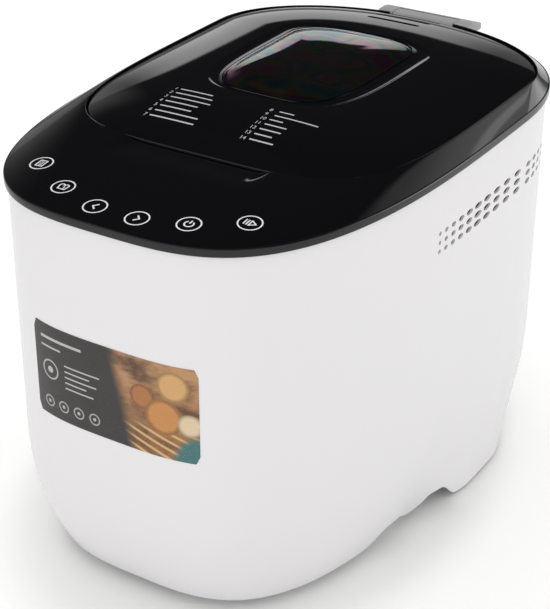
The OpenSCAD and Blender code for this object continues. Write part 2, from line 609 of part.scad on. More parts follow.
wing_z = floor_top + 4.6;
module paddle_shaft() {
  color(steel) difference() {
    rod([0, axis_y, wing_z], shaft_r, pan_floor + 24 - wing_z);
    block(shaft_r - 1, shaft_r + 1, axis_y - 5, axis_y + 5, pan_floor + 4, pan_floor + 30);
  }
}
module driven_wing() {
  color(steel) translate([0, axis_y, wing_z]) difference() {
    union() {
      rod([0, 0, 0], 7, 4.4);
      intersection() { block(-26, 26, -3.5, 3.5, 0, 4.4); rod([0, 0, -1], 25, 8); }
    }
    rod([0, 0, -1], shaft_r + 0.02, 8);
  }
}
module kneading_paddle() {
  z0 = pan_floor + 1.4;
  color([0.25, 0.25, 0.27]) translate([0, axis_y, z0]) difference() {
    union() {
      rod([0, 0, 0], 8.5, 8);
      translate([0, 0, 8 - e]) cylinder(r1 = 8.5, r2 = 6.5, h = 15);
      hull() {
        translate([7, 0, 0]) cylinder(r = 2.2, h = 9, $fn = 24);
        translate([paddle_r - 2.5, 3, 0]) cylinder(r = 2.5, h = 6, $fn = 24);
        translate([12, 1, 0]) cylinder(r = 1.2, h = 26, $fn = 24);
        translate([22, 3, 0]) cylinder(r = 1.2, h = 21, $fn = 24);
      }
      hull() {
        translate([-7, 0, 0]) cylinder(r = 2.2, h = 7, $fn = 24);
        translate([-paddle_r * 0.55, -2, 0]) cylinder(r = 2, h = 4, $fn = 24);
      }
    }
    rod([0, 0, -1], shaft_r + 0.05, 30);
  }
}

coupler_z = floor_top + 1.6;
module drive_bearing() {
  color([0.5, 0.5, 0.52]) translate([0, axis_y, 0]) difference() {
    union() { rod([0, 0, belt_z + belt_w + 5], bearing_r, floor_top + 0.6 - belt_z - belt_w - 5); rod([0, 0, floor_z - 3 - seat], 24, 3); }
    rod([0, 0, 0], drive_r + run, 100);
  }
}
module drive_shaft() { color(steel) rod([0, axis_y, belt_z - 3], drive_r, coupler_z + 2 - belt_z + 3); }
module drive_coupler() {
  color([0.6, 0.6, 0.62]) translate([0, axis_y, coupler_z]) {
    difference() { rod([0, 0, 0], 22, 2); rod([0, 0, -1], drive_r + 0.02, 5); }
    for (a = [90, 270]) translate([0, 0, 2 - e]) sector(14, 21, a, 20, 5);
  }
}
module big_pulley() {
  z0 = belt_z - 1.4; h = belt_w + 2.8; th = 48;
  color([0.18, 0.18, 0.19]) translate([0, axis_y, 0]) difference() {
    union() {
      translate([0, 0, z0]) rotate_extrude($fn = 72) polygon([[big_r - 6, 0], [big_r + 2.5, 0], [big_r + 2.5, 1], [big_r, 1.2], [big_r, h - 1.2], [big_r + 2.5, h - 1], [big_r + 2.5, h], [big_r - 6, h]]);
      rod([0, 0, z0 + 3], big_r - 5, 3);
      rod([0, 0, z0], 12, h + 2);
      for (a = [0:60:300]) rotate([0, 0, a]) block(10, big_r - 5, -1.5, 1.5, z0 + 1, z0 + h - 1);
    }
    rod([0, 0, 0], drive_r + 0.02, 60);
    for (a = [30:60:330]) rotate([0, 0, a]) rod([big_r * 0.56, 0, z0], 9, 20);
  }
}
// Plan of the belt at distance d outside the pulley rims
module belt_plan(d) {
  R = big_r + d; r = small_r + d; L = axis_y - motor_y; b = asin((R - r) / L);
  translate([0, axis_y]) circle(R, $fn = 96);
  translate([0, motor_y]) circle(r, $fn = 64);
  polygon([[R * cos(b), axis_y - R * sin(b)], [-R * cos(b), axis_y - R * sin(b)], [-r * cos(b), motor_y - r * sin(b)], [r * cos(b), motor_y - r * sin(b)]]);
}
module drive_belt() {
  color([0.1, 0.1, 0.1]) translate([0, 0, belt_z]) linear_extrude(belt_w) difference() { belt_plan(0.3 + belt_t); belt_plan(0.3); }
}
motor_z = bracket_z + 3 + seat;
module motor() {
  color([0.45, 0.46, 0.48]) translate([0, motor_y, motor_z]) difference() {
    union() {
      rod([0, 0, 0], motor_r - 3, 3);
      rod([0, 0, 3 - e], motor_r, motor_h - 10);
      translate([0, 0, motor_h - 7 - e]) cylinder(r1 = motor_r, r2 = motor_r - 5, h = 4);
      rod([0, 0, motor_h - 3 - e], 9, 6);
      for (a = [45:90:315]) rotate([0, 0, a]) rod([motor_r - 1, 0, 0], 4, motor_h - 12);
    }
    rod([0, 0, -1], drive_r - 1 + run, 24);
    for (a = [0:30:330]) rotate([0, 0, a]) block(motor_r - 9, motor_r - 6, -3, 3, motor_h - 16, motor_h + 1);
  }
}
module motor_bracket() {
  color(steel) difference() {
    block(-46, 46, motor_y - bracket_hy, motor_y + bracket_hy, bracket_z + seat / 2, bracket_z + 3);
    rod([0, motor_y, bracket_z - 1], small_r + 1, 6);
    both_sides() for (y = [motor_y - post_dy, motor_y + post_dy]) rod([40, y, bracket_z - 1], 1.7, 6);
  }
}
module motor_shaft() { color(steel) rod([0, motor_y, belt_z - 3], drive_r - 1, motor_z + 20 - belt_z + 3); }
module motor_pulley() {
  z0 = belt_z - 1.4; h = belt_w + 2.8;
  color([0.7, 0.7, 0.72]) translate([0, motor_y, z0]) rotate_extrude()
    polygon([[drive_r - 1 + 0.02, 0], [small_r + 2, 0], [small_r + 2, 1], [small_r, 1.2], [small_r, h - 1.2], [small_r + 2, h - 1], [small_r + 2, h], [drive_r - 1 + 0.02, h]]);
}

module power_board() { color([0.45, 0.33, 0.14]) block(board_x, board_x + board_t, board_y0, board_y1, plate_top + 0.1, plate_top + 92); }
module board_parts() {
  x = board_x + board_t + seat;
  function at(w) = board_y0 + w * (board_y1 - board_y0);
  color([0.2, 0.2, 0.22]) {
    block(x, x + 16, at(0.05), at(0.45), plate_top + 58, plate_top + 84);
    block(x, x + 15, at(0.55), at(0.94), plate_top + 62, plate_top + 80);
    rod([x, at(0.26), plate_top + 40], 6.5, 18, "x");
    rod([x, at(0.7), plate_top + 40], 5, 14, "x");
    block(x, x + 3, at(0.3), at(0.64), plate_top + 12, plate_top + 30);
  }
}

/* label: a thin sheet on the curved front */
label_x = 54; label_z0 = 110.5; label_z1 = 168.5;
module front_label() {
  nx = 18; nz = 4;
  pts = [for (s = [0, 1], j = [0:nz], i = [0:nx]) let (x = -label_x + 2 * label_x * i / nx, z = label_z0 + (label_z1 - label_z0) * j / nz)
    [x, front_y(x, z) - (s == 0 ? 0.05 : 0.35), z]];
  m = (nx + 1) * (nz + 1);
  function id(s, i, j) = s * m + j * (nx + 1) + i;
  f = concat(
    [for (j = [0:nz - 1], i = [0:nx - 1]) each [[id(1, i, j), id(1, i, j + 1), id(1, i + 1, j + 1)], [id(1, i, j), id(1, i + 1, j + 1), id(1, i + 1, j)]]],
    [for (j = [0:nz - 1], i = [0:nx - 1]) each [[id(0, i, j), id(0, i + 1, j + 1), id(0, i, j + 1)], [id(0, i, j), id(0, i + 1, j), id(0, i + 1, j + 1)]]],
    [for (i = [0:nx - 1]) each [[id(0, i, 0), id(1, i, 0), id(1, i + 1, 0)], [id(0, i, 0), id(1, i + 1, 0), id(0, i + 1, 0)]]],
    [for (i = [0:nx - 1]) each [[id(0, i, nz), id(1, i + 1, nz), id(1, i, nz)], [id(0, i, nz), id(0, i + 1, nz), id(1, i + 1, nz)]]],
    [for (j = [0:nz - 1]) each [[id(0, 0, j), id(1, 0, j + 1), id(1, 0, j)], [id(0, 0, j), id(0, 0, j + 1), id(1, 0, j + 1)]]],
    [for (j = [0:nz - 1]) each [[id(0, nx, j), id(1, nx, j), id(1, nx, j + 1)], [id(0, nx, j), id(1, nx, j + 1), id(0, nx, j + 1)]]]);
  color([0.35, 0.3, 0.26]) polyhedron(pts, f, 10);
}

body_shell();
base_plate();
base_feet();
base_screws();
cord_inlet();
trim_ring();
top_frame();
touch_board();
touch_pads();
hinge_block();
hinge_pin();
lid_shell();
lid_window();
lid_liner();
inner_glass();
lid_seal();
lid_screws();
chamber();
heater_tube();
heater_clips();
temp_probe();
pan_seat();
bread_pan();
pan_base();
pan_bush();
bail_ears();
bail();
paddle_shaft();
driven_wing();
kneading_paddle();
drive_bearing();
drive_shaft();
drive_coupler();
big_pulley();
drive_belt();
motor();
motor_bracket();
motor_shaft();
motor_pulley();
power_board();
board_parts();
front_label();
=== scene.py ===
"""Dressed model of a bread machine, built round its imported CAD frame.

Sizes in the classes below are millimetres in the CAD frame: +Z up, front
towards -Y, origin under the middle of the base. Meshes are written in metres.
"""

import logging
import math
from dataclasses import dataclass
from enum import Enum
from typing import Optional, Sequence

import bpy
import numpy as np
from mathutils import Matrix, Vector


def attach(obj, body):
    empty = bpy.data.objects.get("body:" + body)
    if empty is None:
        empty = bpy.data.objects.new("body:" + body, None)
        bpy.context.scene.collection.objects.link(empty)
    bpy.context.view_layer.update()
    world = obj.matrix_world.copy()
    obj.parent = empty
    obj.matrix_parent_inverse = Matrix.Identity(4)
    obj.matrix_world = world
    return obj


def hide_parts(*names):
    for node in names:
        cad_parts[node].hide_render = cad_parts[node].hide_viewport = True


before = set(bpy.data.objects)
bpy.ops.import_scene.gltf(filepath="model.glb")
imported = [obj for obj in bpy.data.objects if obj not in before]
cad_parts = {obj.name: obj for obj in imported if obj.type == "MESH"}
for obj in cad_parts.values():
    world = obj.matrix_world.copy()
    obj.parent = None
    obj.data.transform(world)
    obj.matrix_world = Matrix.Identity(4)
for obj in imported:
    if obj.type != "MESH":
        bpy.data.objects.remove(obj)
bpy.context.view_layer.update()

LOG = logging.getLogger("bread_machine")
Array = np.ndarray
Numbers = Sequence[float] | Array
Shell = tuple[Array, list[Array]]
Colour = tuple[float, float, float]
Socket = bpy.types.NodeSocket
Mesh = bpy.types.Mesh
Object = bpy.types.Object
MM = 0.001
PRINT_Z = 270.0  # prints start here and are dropped onto their carrier
CREASE = math.radians(32.0)  # edges that fold more than this stay crisp


# ---- shapes


class Ends(Enum):
    """How a stack of rings is closed."""

    LOOP = "the last ring joins the first"
    POLES = "both ends close to a point"


def eased(t: Array | float) -> Array:
    """Smooth step from 0 to 1: t * t * (3 - 2 * t) with t kept within 0 and 1."""
    t = np.clip(t, 0, 1)
    return t * t * (3 - 2 * t)


def raised(flat: Array, z: Array | float) -> Array:
    """Plan points, shape (..., 2), carried to heights that broadcast to (...)."""
    return np.concatenate([flat, np.broadcast_to(z, flat.shape[:-1])[..., None]], -1)


@dataclass(frozen=True)
class PlanCurve:
    """Egg-shaped superellipse seen from above, with its own squareness in front and behind.

    A point at angle t, counted from the front and counter-clockwise from above, lies at
    x = a * sign(sin t) * |sin t| ** (2 / n) and y = centre - b * sign(cos t) * |cos t| ** (2 / n),
    where a is the half width, b the reach and n the squareness of the half it lies in.
    """

    half_width: float
    front: float
    rear: float
    front_sq: float
    rear_sq: float
    centre_y: float

    def at(self, t: Array, inset: Array | float = 0.0, ahead: Optional[Array] = None) -> Array:
        """Points of the curve moved in by an inset.

        Args:
            t: angles in radians, shape (n,).
            inset: distance in mm, a number or shape (k, 1) or (k, n).
            ahead: the front's inset where it has its own.

        Returns:
            Points, shape (n, 2) or (k, n, 2).
        """
        sine, cosine = np.sin(t), np.cos(t)
        square = 2.0 / np.where(cosine > 0, self.front_sq, self.rear_sq)
        reach = np.where(cosine > 0, self.front - (inset if ahead is None else ahead), self.rear - inset)
        x = (self.half_width - inset) * np.sign(sine) * np.abs(sine) ** square
        y = self.centre_y - reach * np.sign(cosine) * np.abs(cosine) ** square
        return np.stack(np.broadcast_arrays(x, y), -1)

    def rings(self, t: Array, inset: Numbers, z: Numbers) -> Array:
        """Copies of the curve, ring k moved in by inset k and raised to z k; shape (k, n, 3)."""
        flat = self.at(t, np.asarray(inset, float).reshape(-1, 1))
        return raised(flat, np.asarray(z, float).reshape(-1, 1))

    def side_x(self, y: Array) -> Array:
        """Half width at y, from |x / a| ** n + |(y - centre) / b| ** n = 1."""
        ahead = y < self.centre_y
        square = np.where(ahead, self.front_sq, self.rear_sq)
        share = np.abs(y - self.centre_y) / np.where(ahead, self.front, self.rear)
        return self.half_width * (1 - np.minimum(share, 1) ** square) ** (1 / square)

    def front_y(self, x: Array) -> Array:
        """Front of the curve at x, from the same equation solved for y."""
        share = np.minimum(np.abs(x) / self.half_width, 1)
        return self.centre_y - self.front * (1 - share**self.front_sq) ** (1 / self.front_sq)


def fair_angles(curve: PlanCurve, count: int) -> Array:
    """Angles that space points evenly along a curve: its running length is inverted by interpolation."""
    t = np.linspace(0, 2 * math.pi, 20001)
    length = np.concatenate([[0], np.cumsum(np.linalg.norm(np.diff(curve.at(t), axis=0), axis=1))])
    return np.interp(np.linspace(0, length[-1], count, endpoint=False), length, t)


def box_curve(half_width: float, half_length: float) -> PlanCurve:
    """Rounded rectangle round the drive axis, for the chamber and the pan."""
    return PlanCurve(half_width, half_length, half_length, 7.0, 7.0, 32.0)


RIM = PlanCurve(119.5, 244, 115, 3.25, 2.5, 60)
LID = PlanCurve(109.5, 187.5, 73.5, 4.6, 2.05, 90)
WINDOW = PlanCurve(42, 94.5, 25, 4.5, 2.55, 63)
FINE = fair_angles(RIM, 480)
COARSE = fair_angles(RIM, 192)


def arc(radius: float, start: float, end: float, count: int, centre: Numbers = (0.0, 0.0)) -> Array:
    """Points of a circle's arc, angles in degrees from +x."""
    a = np.radians(np.linspace(start, end, count))
    return np.stack([centre[0] + radius * np.cos(a), centre[1] + radius * np.sin(a)], -1)


def skin(rings: Array, ends: Ends) -> Shell:
    """Quads over a stack of rings; poles add the mean point of each end ring and a fan to it.

    Args:
        rings: points, shape (k, n, 3), climbing on the outside.
        ends: how the stack is closed.

    Returns:
        Points, shape (m, 3), and a list of face arrays.
    """
    count, n = rings.shape[:2]
    k = np.arange(count if ends is Ends.LOOP else count - 1)[:, None]
    i = np.arange(n)[None]
    j, up = (i + 1) % n, (k + 1) % count
    quads = np.stack([k * n + i, k * n + j, up * n + j, up * n + i], -1).reshape(-1, 4)
    points, faces = rings.reshape(-1, 3), [quads]
    if ends is Ends.POLES:
        low, high = len(points), len(points) + 1
        points = np.concatenate([points, rings[:1].mean(1), rings[-1:].mean(1)])
        turn, top = np.arange(n), (count - 1) * n + np.arange(n)
        faces.append(np.stack([np.roll(turn, -1), turn, np.full(n, low)], -1))
        faces.append(np.stack([top, np.roll(top, -1), np.full(n, high)], -1))
    return points, faces


def joined(parts: Sequence[Shell]) -> Shell:
    """Several shells as one list of points and faces, each shell's numbers moved past the last."""
    starts = np.cumsum([0] + [len(points) for points, _ in parts[:-1]])
    faces = [face + start for (_, group), start in zip(parts, starts) for face in group]
    return np.concatenate([points for points, _ in parts]), faces


def prisms(outlines: Array, base: Numbers, reach: Numbers) -> Shell:
    """Closed prisms, each an outline swept along a straight line.

    Args:
        outlines: outline points, shape (m, n, 3), counter-clockwise seen from the far end.
        base: start of each prism, shape (m, 3).
        reach: vector from start to end, shape (m, 3).

    Returns:
        Points and faces: n side quads and two end caps a prism.
    """
    m, n = outlines.shape[:2]
    low = outlines + np.asarray(base)[:, None]
    points = np.stack([low, low + np.asarray(reach)[:, None]], 1).reshape(-1, 3)
    start = (np.arange(m) * 2 * n)[:, None]
    i = np.arange(n)[None]
    j = (i + 1) % n
    sides = np.stack([start + i, start + j, start + n + j, start + n + i], -1).reshape(-1, 4)
    return points, [sides, start + n + i, (start + i)[:, ::-1]]


def block(half: float, y: Numbers, z: Numbers) -> Shell:
    """A box from -half to half in x, between two limits in y and two in z."""
    corners = [[x, depth, z[0]] for x, depth in ((-half, y[0]), (half, y[0]), (half, y[1]), (-half, y[1]))]
    return prisms(np.array([corners]), [[0, 0, 0]], [[0, 0, z[1] - z[0]]])


def swept(profile: Array, half: float) -> Shell:
    """A profile of (y, z) points, clockwise seen from +X, swept from -half to half in x."""
    outline = np.insert(profile, 0, 0.0, axis=1)[::-1]
    return prisms(outline[None], [[-half, 0, 0]], [[2 * half, 0, 0]])


def rods(centres: Array, direction: Array, radius: Array, half: float, sides: int, stretch: Array) -> Shell:
    """Oval prisms centred on points: an ellipse in the plane across the direction, swept both ways.

    Args:
        centres: middle of each rod, shape (m, 3).
        direction: unit vector of each rod, shape (m, 3), not upright.
        radius: half the height of each oval, shape (m,).
        half: half length in mm.
        sides: sides of the oval.
        stretch: level width over height, shape (m,).
    """
    across = np.cross([0.0, 0.0, 1.0], direction)
    upward = np.cross(direction, across)
    turn = np.linspace(0, 2 * math.pi, sides, endpoint=False)[None, :, None]
    oval = across[:, None] * np.cos(turn) * stretch[:, None, None] + upward[:, None] * np.sin(turn)
    return prisms(oval * radius[:, None, None], centres - direction * half, direction * 2 * half)


def rod(centre: Numbers, direction: Numbers, radius: float, half: float, sides: int) -> Shell:
    """One round rod."""
    return rods(np.array([centre]), np.array([direction]), np.array([radius]), half, sides, np.ones(1))


def stroke(path: Numbers, width: float, closed: bool = False) -> Shell:
    """A flat ribbon along a path in the plane, mitred at its corners.

    The offset at a corner is (n1 + n2) / (1 + n1 . n2), with the unit normals n1 and n2 of its sides.

    Args:
        path: points, shape (n, 2).
        width: width in mm.
        closed: joins the last point to the first.
    """
    path = np.asarray(path)
    ahead = np.roll(path, -1, 0) - path
    ahead = ahead / np.maximum(np.linalg.norm(ahead, axis=1), 1e-9)[:, None]
    if not closed:
        ahead[-1] = ahead[-2]
    normal = np.stack([-ahead[:, 1], ahead[:, 0]], -1)
    before = np.roll(normal, 1, 0)
    if not closed:
        before[0] = normal[0]
    mitre = (normal + before) / np.maximum(1 + (normal * before).sum(1), 0.35)[:, None] * width / 2
    n = len(path)
    i = np.arange(n if closed else n - 1)
    j = (i + 1) % n
    quads = np.stack([i, j, n + j, n + i], -1)
    return raised(np.concatenate([path - mitre, path + mitre]), PRINT_Z), [quads]


# ---- meshes


def added(name: str, data: Optional[bpy.types.ID]) -> Object:
    """A new object in the scene."""
    obj = bpy.data.objects.new(name, data)
    bpy.context.scene.collection.objects.link(obj)
    return obj


def make_mesh(name: str, points: Array, faces: Sequence[Array]) -> Mesh:
    """A mesh in metres from points in mm and arrays of faces with equal corner counts."""
    mesh = bpy.data.meshes.new(name)
    corners = np.concatenate([np.ravel(f) for f in faces]).astype(np.int32)
    sizes = np.concatenate([np.full(len(f), f.shape[1]) for f in faces])
    starts = np.concatenate([[0], np.cumsum(sizes)[:-1]]).astype(np.int32)
    mesh.vertices.add(len(points))
    mesh.vertices.foreach_set("co", (np.asarray(points) * MM).astype(np.float32).ravel())
    mesh.loops.add(len(corners))
    mesh.loops.foreach_set("vertex_index", corners)
    mesh.polygons.add(len(sizes))
    mesh.polygons.foreach_set("loop_start", starts)
    mesh.update(calc_edges=True)
    mesh.validate()
    return mesh


def looped(name: str, *rings: Array) -> Mesh:
    """A mesh over stacks of rings that run on from each other and close to a loop."""
    return make_mesh(name, *skin(np.concatenate(rings), Ends.LOOP))


def settled(obj: Object) -> Mesh:
    """The mesh of an object with its modifiers applied."""
    graph = bpy.context.evaluated_depsgraph_get()
    return bpy.data.meshes.new_from_object(obj.evaluated_get(graph), depsgraph=graph)


def carved(mesh: Mesh, *cutters: Shell) -> Mesh:
    """A closed mesh with closed cutters taken away from it one by one."""
    for cutter in cutters:
        tool, body = added("cutter", make_mesh("cutter", *cutter)), added("blank", mesh)
        cut = body.modifiers.new("cut", "BOOLEAN")
        cut.operation, cut.solver, cut.object = "DIFFERENCE", "MANIFOLD", tool
        result = settled(body)
        result.name = mesh.name
        mesh = result
        for obj in (tool, body):
            bpy.data.objects.remove(obj)
    return mesh


def laid_on(mesh: Mesh, carrier: Object, lift: float = 0.04) -> Mesh:
    """A flat print dropped straight down onto a carrier and left a hair above it."""
    print_obj = added("print", mesh)
    drop = print_obj.modifiers.new("drop", "SHRINKWRAP")
    drop.wrap_method, drop.target, drop.offset = "PROJECT", carrier, 0.0
    drop.use_project_z = True
    drop.use_negative_direction, drop.use_positive_direction = True, False
    result = settled(print_obj)
    bpy.data.objects.remove(print_obj)
    result.transform(Matrix.Translation((0, 0, lift * MM)))
    result.name = mesh.name
    return result


# ---- finishes


class NodeBench:
    """Short ways to add nodes to one tree."""

    def __init__(self, tree: bpy.types.NodeTree) -> None:
        """Takes a tree and empties it."""
        self.tree = tree
        self.tree.nodes.clear()

    def node(self, kind: str, inputs: dict | None = None, **settings: object) -> bpy.types.Node:
        """Adds a node; inputs are numbers, colours or sockets by name or number."""
        made = self.tree.nodes.new("ShaderNode" + kind)
        for key, value in settings.items():
            setattr(made, key, value)
        for key, value in (inputs or {}).items():
            self.feed(made.inputs[key], value)
        return made

    def feed(self, socket: Socket, value: object) -> None:
        """Links a socket to a socket, or sets its value."""
        if isinstance(value, Socket):
            self.tree.links.new(value, socket)
        elif socket.type == "RGBA" and len(value) == 3:
            socket.default_value = (*value, 1.0)
        else:
            socket.default_value = value

    def math(self, operation: str, a: object, b: object = 0.0, c: object = 0.0) -> Socket:
        """One Math node."""
        return self.node("Math", {0: a, 1: b, 2: c}, operation=operation).outputs[0]

    def chain(self, operation: str, *values: object) -> Socket:
        """One operation carried over several values, such as their product."""
        total = values[0]
        for value in values[1:]:
            total = self.math(operation, total, value)
        return total

    def product(self, *values: object) -> Socket:
        """Product of the values."""
        return self.chain("MULTIPLY", *values)

    def highest(self, *values: object) -> Socket:
        """Largest of the values."""
        return self.chain("MAXIMUM", *values)

    def span(self, value: object, low: float, high: float, start: float = 0.0, end: float = 1.0) -> Socket:
        """A value's range low..high carried to start..end, eased and clamped."""
        limits = {"Value": value, "From Min": low, "From Max": high, "To Min": start, "To Max": end}
        return self.node("MapRange", limits, interpolation_type="SMOOTHSTEP").outputs[0]


class NodeSheet(NodeBench):
    """Builder of one material's nodes, read in Object coordinates."""

    def __init__(self, name: str) -> None:
        """Starts a material with an empty shader."""
        self.material = bpy.data.materials.new(name)
        self.material.use_nodes = True
        super().__init__(self.material.node_tree)
        self.shader = self.node("BsdfPrincipled")
        self.node("OutputMaterial", {"Surface": self.shader.outputs[0]})
        self.place = self.node("TexCoord").outputs["Object"]

    def set(self, **values: object) -> None:
        """Sets or links the shader's sockets, written with _ for a space."""
        for key, value in values.items():
            self.feed(self.shader.inputs[key.replace("_", " ")], value)

    def stretched(self, scale: Sequence[float]) -> Socket:
        """The place scaled along its axes."""
        return self.node("Mapping", {"Vector": self.place, "Scale": tuple(scale)}).outputs[0]

    def noise(self, scale: float, detail: float = 2.0, source: Optional[Socket] = None) -> Socket:
        """Soft noise from 0 to 1, scale in waves a metre."""
        inputs = {"Vector": source or self.place, "Scale": scale, "Detail": detail}
        return self.node("TexNoise", inputs).outputs[0]

    def cells(self, scale: float, source: Optional[Socket] = None, **settings: object) -> Socket:
        """Distance to the nearest centre of a cell pattern."""
        inputs = {"Vector": source or self.place, "Scale": scale}
        return self.node("TexVoronoi", inputs, **settings).outputs["Distance"]

    def tint(self, share: object, first: object, second: object) -> Socket:
        """Colour between two colours."""
        made = self.node("Mix", data_type="RGBA")
        for slot, value in ((0, share), (6, first), (7, second)):
            self.feed(made.inputs[slot], value)
        return made.outputs[2]

    def bump(self, height: object, depth_mm: float) -> Socket:
        """Normal from a height of 0 to 1 that stands for a depth in mm."""
        return self.node("Bump", {"Height": height, "Distance": depth_mm * MM}).outputs[0]


@dataclass(frozen=True)
class Finish:
    """A named finish; subclasses lay its nodes."""

    name: str
    colour: Colour

    def lay(self, sheet: NodeSheet) -> None:
        """Lays the finish's nodes."""
        raise NotImplementedError

    def spread(
        self, sheet: NodeSheet, share: Socket, shades: Numbers, dull: Socket, span: Numbers, **rest: object
    ) -> None:
        """Sets the colour and the roughness, and other sockets as given.

        Args:
            sheet: builder of the material.
            share: place between the two shades, from 0 to 1.
            shades: factors of the finish's colour.
            dull: what the roughness follows.
            span: two values of that, and the roughness at each.
        """
        pair = [tuple(min(1.0, c * shade) for c in self.colour) for shade in shades]
        sheet.set(Base_Color=sheet.tint(share, *pair), Roughness=sheet.span(dull, *span), **rest)

    def material(self) -> bpy.types.Material:
        """The finish's material, made once."""
        if self.name not in bpy.data.materials:
            self.lay(NodeSheet(self.name))
        return bpy.data.materials[self.name]


@dataclass(frozen=True)
class MouldedPlastic(Finish):
    """Injection-moulded plastic: faint flow clouds, a slow skin ripple and a fine grain, both in mm."""

    roughness: float
    grain: float
    ripple: float
    clouds: float
    coat: float = 0.0

    def lay(self, sheet: NodeSheet) -> None:
        """Colour from slow clouds; roughness from smears; height is a ripple plus a grain."""
        smear = sheet.noise(60.0, 4.0, sheet.stretched((1.0, 0.35, 0.6)))
        wave = sheet.product(sheet.noise(45.0, 1.0), self.ripple)
        height = sheet.math("MULTIPLY_ADD", sheet.noise(1800.0, 1.0), self.grain, wave)
        span = (0.3, 0.75, self.roughness * 0.85, self.roughness * 1.25)
        shades = (1 - self.clouds, 1 + self.clouds)
        self.spread(sheet, sheet.noise(14.0, 3.0), shades, smear, span, Coat_Weight=self.coat)
        sheet.set(Normal=sheet.bump(height, 1.0), Coat_Roughness=0.04, IOR=1.5)


@dataclass(frozen=True)
class Metal(Finish):
    """Bare metal: drawn lines or a cast skin, with dull patches; texture is its depth in mm."""

    roughness: float
    drawn: Sequence[float]
    texture: float
    scale: float = 900.0

    def lay(self, sheet: NodeSheet) -> None:
        """Noise stretched along the drawing direction gives the lines in height, colour and roughness."""
        line = sheet.noise(self.scale, 3.0, sheet.stretched(self.drawn))
        patch = sheet.noise(30.0, 3.0)
        both = sheet.math("ADD", line, patch)
        span = (0.7, 1.3, self.roughness * 0.75, self.roughness * 1.3)
        self.spread(sheet, sheet.product(both, 0.5), (0.86, 1.1), both, span)
        sheet.set(Normal=sheet.bump(line, self.texture), Metallic=1.0)


@dataclass(frozen=True)
class NonStick(Finish):
    """Dark non-stick coating: pale flecks in a satin film with a fine orange peel."""

    def lay(self, sheet: NodeSheet) -> None:
        """Flecks where a cell pattern is near its centres; the peel is a fine noise."""
        fleck = sheet.span(sheet.cells(420.0), 0.16, 0.08)
        self.spread(sheet, fleck, (1.0, 2.4), sheet.noise(40.0, 3.0), (0.3, 0.7, 0.323, 0.456))
        sheet.set(Normal=sheet.bump(sheet.noise(700.0, 2.0), 0.02), Metallic=0.55)


@dataclass(frozen=True)
class Rubber(Finish):
    """Matt rubber: bloom in clouds and a fine pitted grain."""

    def lay(self, sheet: NodeSheet) -> None:
        """Bloom lightens the colour in slow clouds; pits come from a fine noise."""
        bloom = sheet.noise(70.0, 4.0)
        self.spread(sheet, bloom, (0.8, 1.45), bloom, (0.3, 0.7, 0.62, 0.8))
        sheet.set(Normal=sheet.bump(sheet.noise(1400.0, 3.0), 0.03))


@dataclass(frozen=True)
class ClearPane(Finish):
    """Clear moulded pane: a tinted body, faint smears and a thin hard coat that shows soft colours."""

    film: Optional[tuple[float, float]] = None  # limits of the coat's thickness in nm

    def lay(self, sheet: NodeSheet) -> None:
        """Smears vary the roughness; the coat's thickness drifts between its limits in slow clouds."""
        smear = sheet.noise(35.0, 3.0)
        self.spread(sheet, sheet.noise(20.0, 2.0), (0.96, 1.0), smear, (0.35, 0.8, 0.01, 0.05))
        sheet.set(Normal=sheet.bump(sheet.noise(26.0, 1.0), 0.01), Transmission_Weight=1.0, IOR=1.49)
        if self.film:
            drift = sheet.span(sheet.noise(30.0, 1.0), 0.36, 0.64, *self.film)
            sheet.set(Thin_Film_Thickness=drift, Thin_Film_IOR=2.0)


@dataclass(frozen=True)
class Ink(Finish):
    """Screen-printed ink: thin spots where the ground shows through and a slightly raised, matt skin."""

    def lay(self, sheet: NodeSheet) -> None:
        """Thin spots from a fine noise darken the colour."""
        thin = sheet.noise(1500.0, 2.0)
        self.spread(sheet, sheet.span(thin, 0.25, 0.45), (0.75, 1.0), thin, (0.3, 0.7, 0.4, 0.55))
        sheet.set(Normal=sheet.bump(thin, 0.01))


@dataclass(frozen=True)
class CircuitBoard(Finish):
    """Laminate with solder resist: straight tracks under the resist and a woven glass grain."""

    def lay(self, sheet: NodeSheet) -> None:
        """Tracks are the edges of square cells, a little lighter and raised under the resist."""
        cell = sheet.cells(170.0, distance="CHEBYCHEV")
        track = sheet.span(sheet.math("PINGPONG", cell, 0.16), 0.07, 0.11)
        weave = sheet.noise(900.0, 1.0, sheet.stretched((1.0, 4.0, 4.0)))
        self.spread(sheet, track, (1.0, 1.9), weave, (0.3, 0.7, 0.3, 0.42))
        sheet.set(Normal=sheet.bump(sheet.math("MULTIPLY_ADD", track, 0.8, weave), 0.03))


class LabelMap:
    """Masks on the label's own map, where v runs from 0 to 1 upwards and u across to the same scale."""

    def __init__(self, sheet: NodeSheet, aspect: float) -> None:
        """Reads the map of the label's mesh and widens it by its aspect."""
        self.sheet = sheet
        self.place = sheet.node("UVMap", uv_map="label").outputs[0]
        wide = sheet.node("VectorMath", {0: self.place, 1: (aspect, 1.0, 0.0)}, operation="MULTIPLY")
        self.plan = wide.outputs[0]
        self.u, self.v, _ = sheet.node("SeparateXYZ", {0: self.plan}).outputs

    def disc(self, x: float, y: float, radius: float, soft: float = 0.01) -> Socket:
        """1 where the distance to (x, y) is under the radius, with a soft edge."""
        far = self.sheet.node("VectorMath", {0: self.plan, 1: (x, y, 0.0)}, operation="DISTANCE")
        return self.sheet.span(far.outputs["Value"], radius + soft, radius - soft)

    def bar(self, left: float, right: float, low: float, high: float) -> Socket:
        """1 between two edges each way."""
        level = self.sheet.math("COMPARE", self.u, (left + right) / 2, (right - left) / 2)
        upright = self.sheet.math("COMPARE", self.v, (low + high) / 2, (high - low) / 2)
        return self.sheet.product(level, upright)


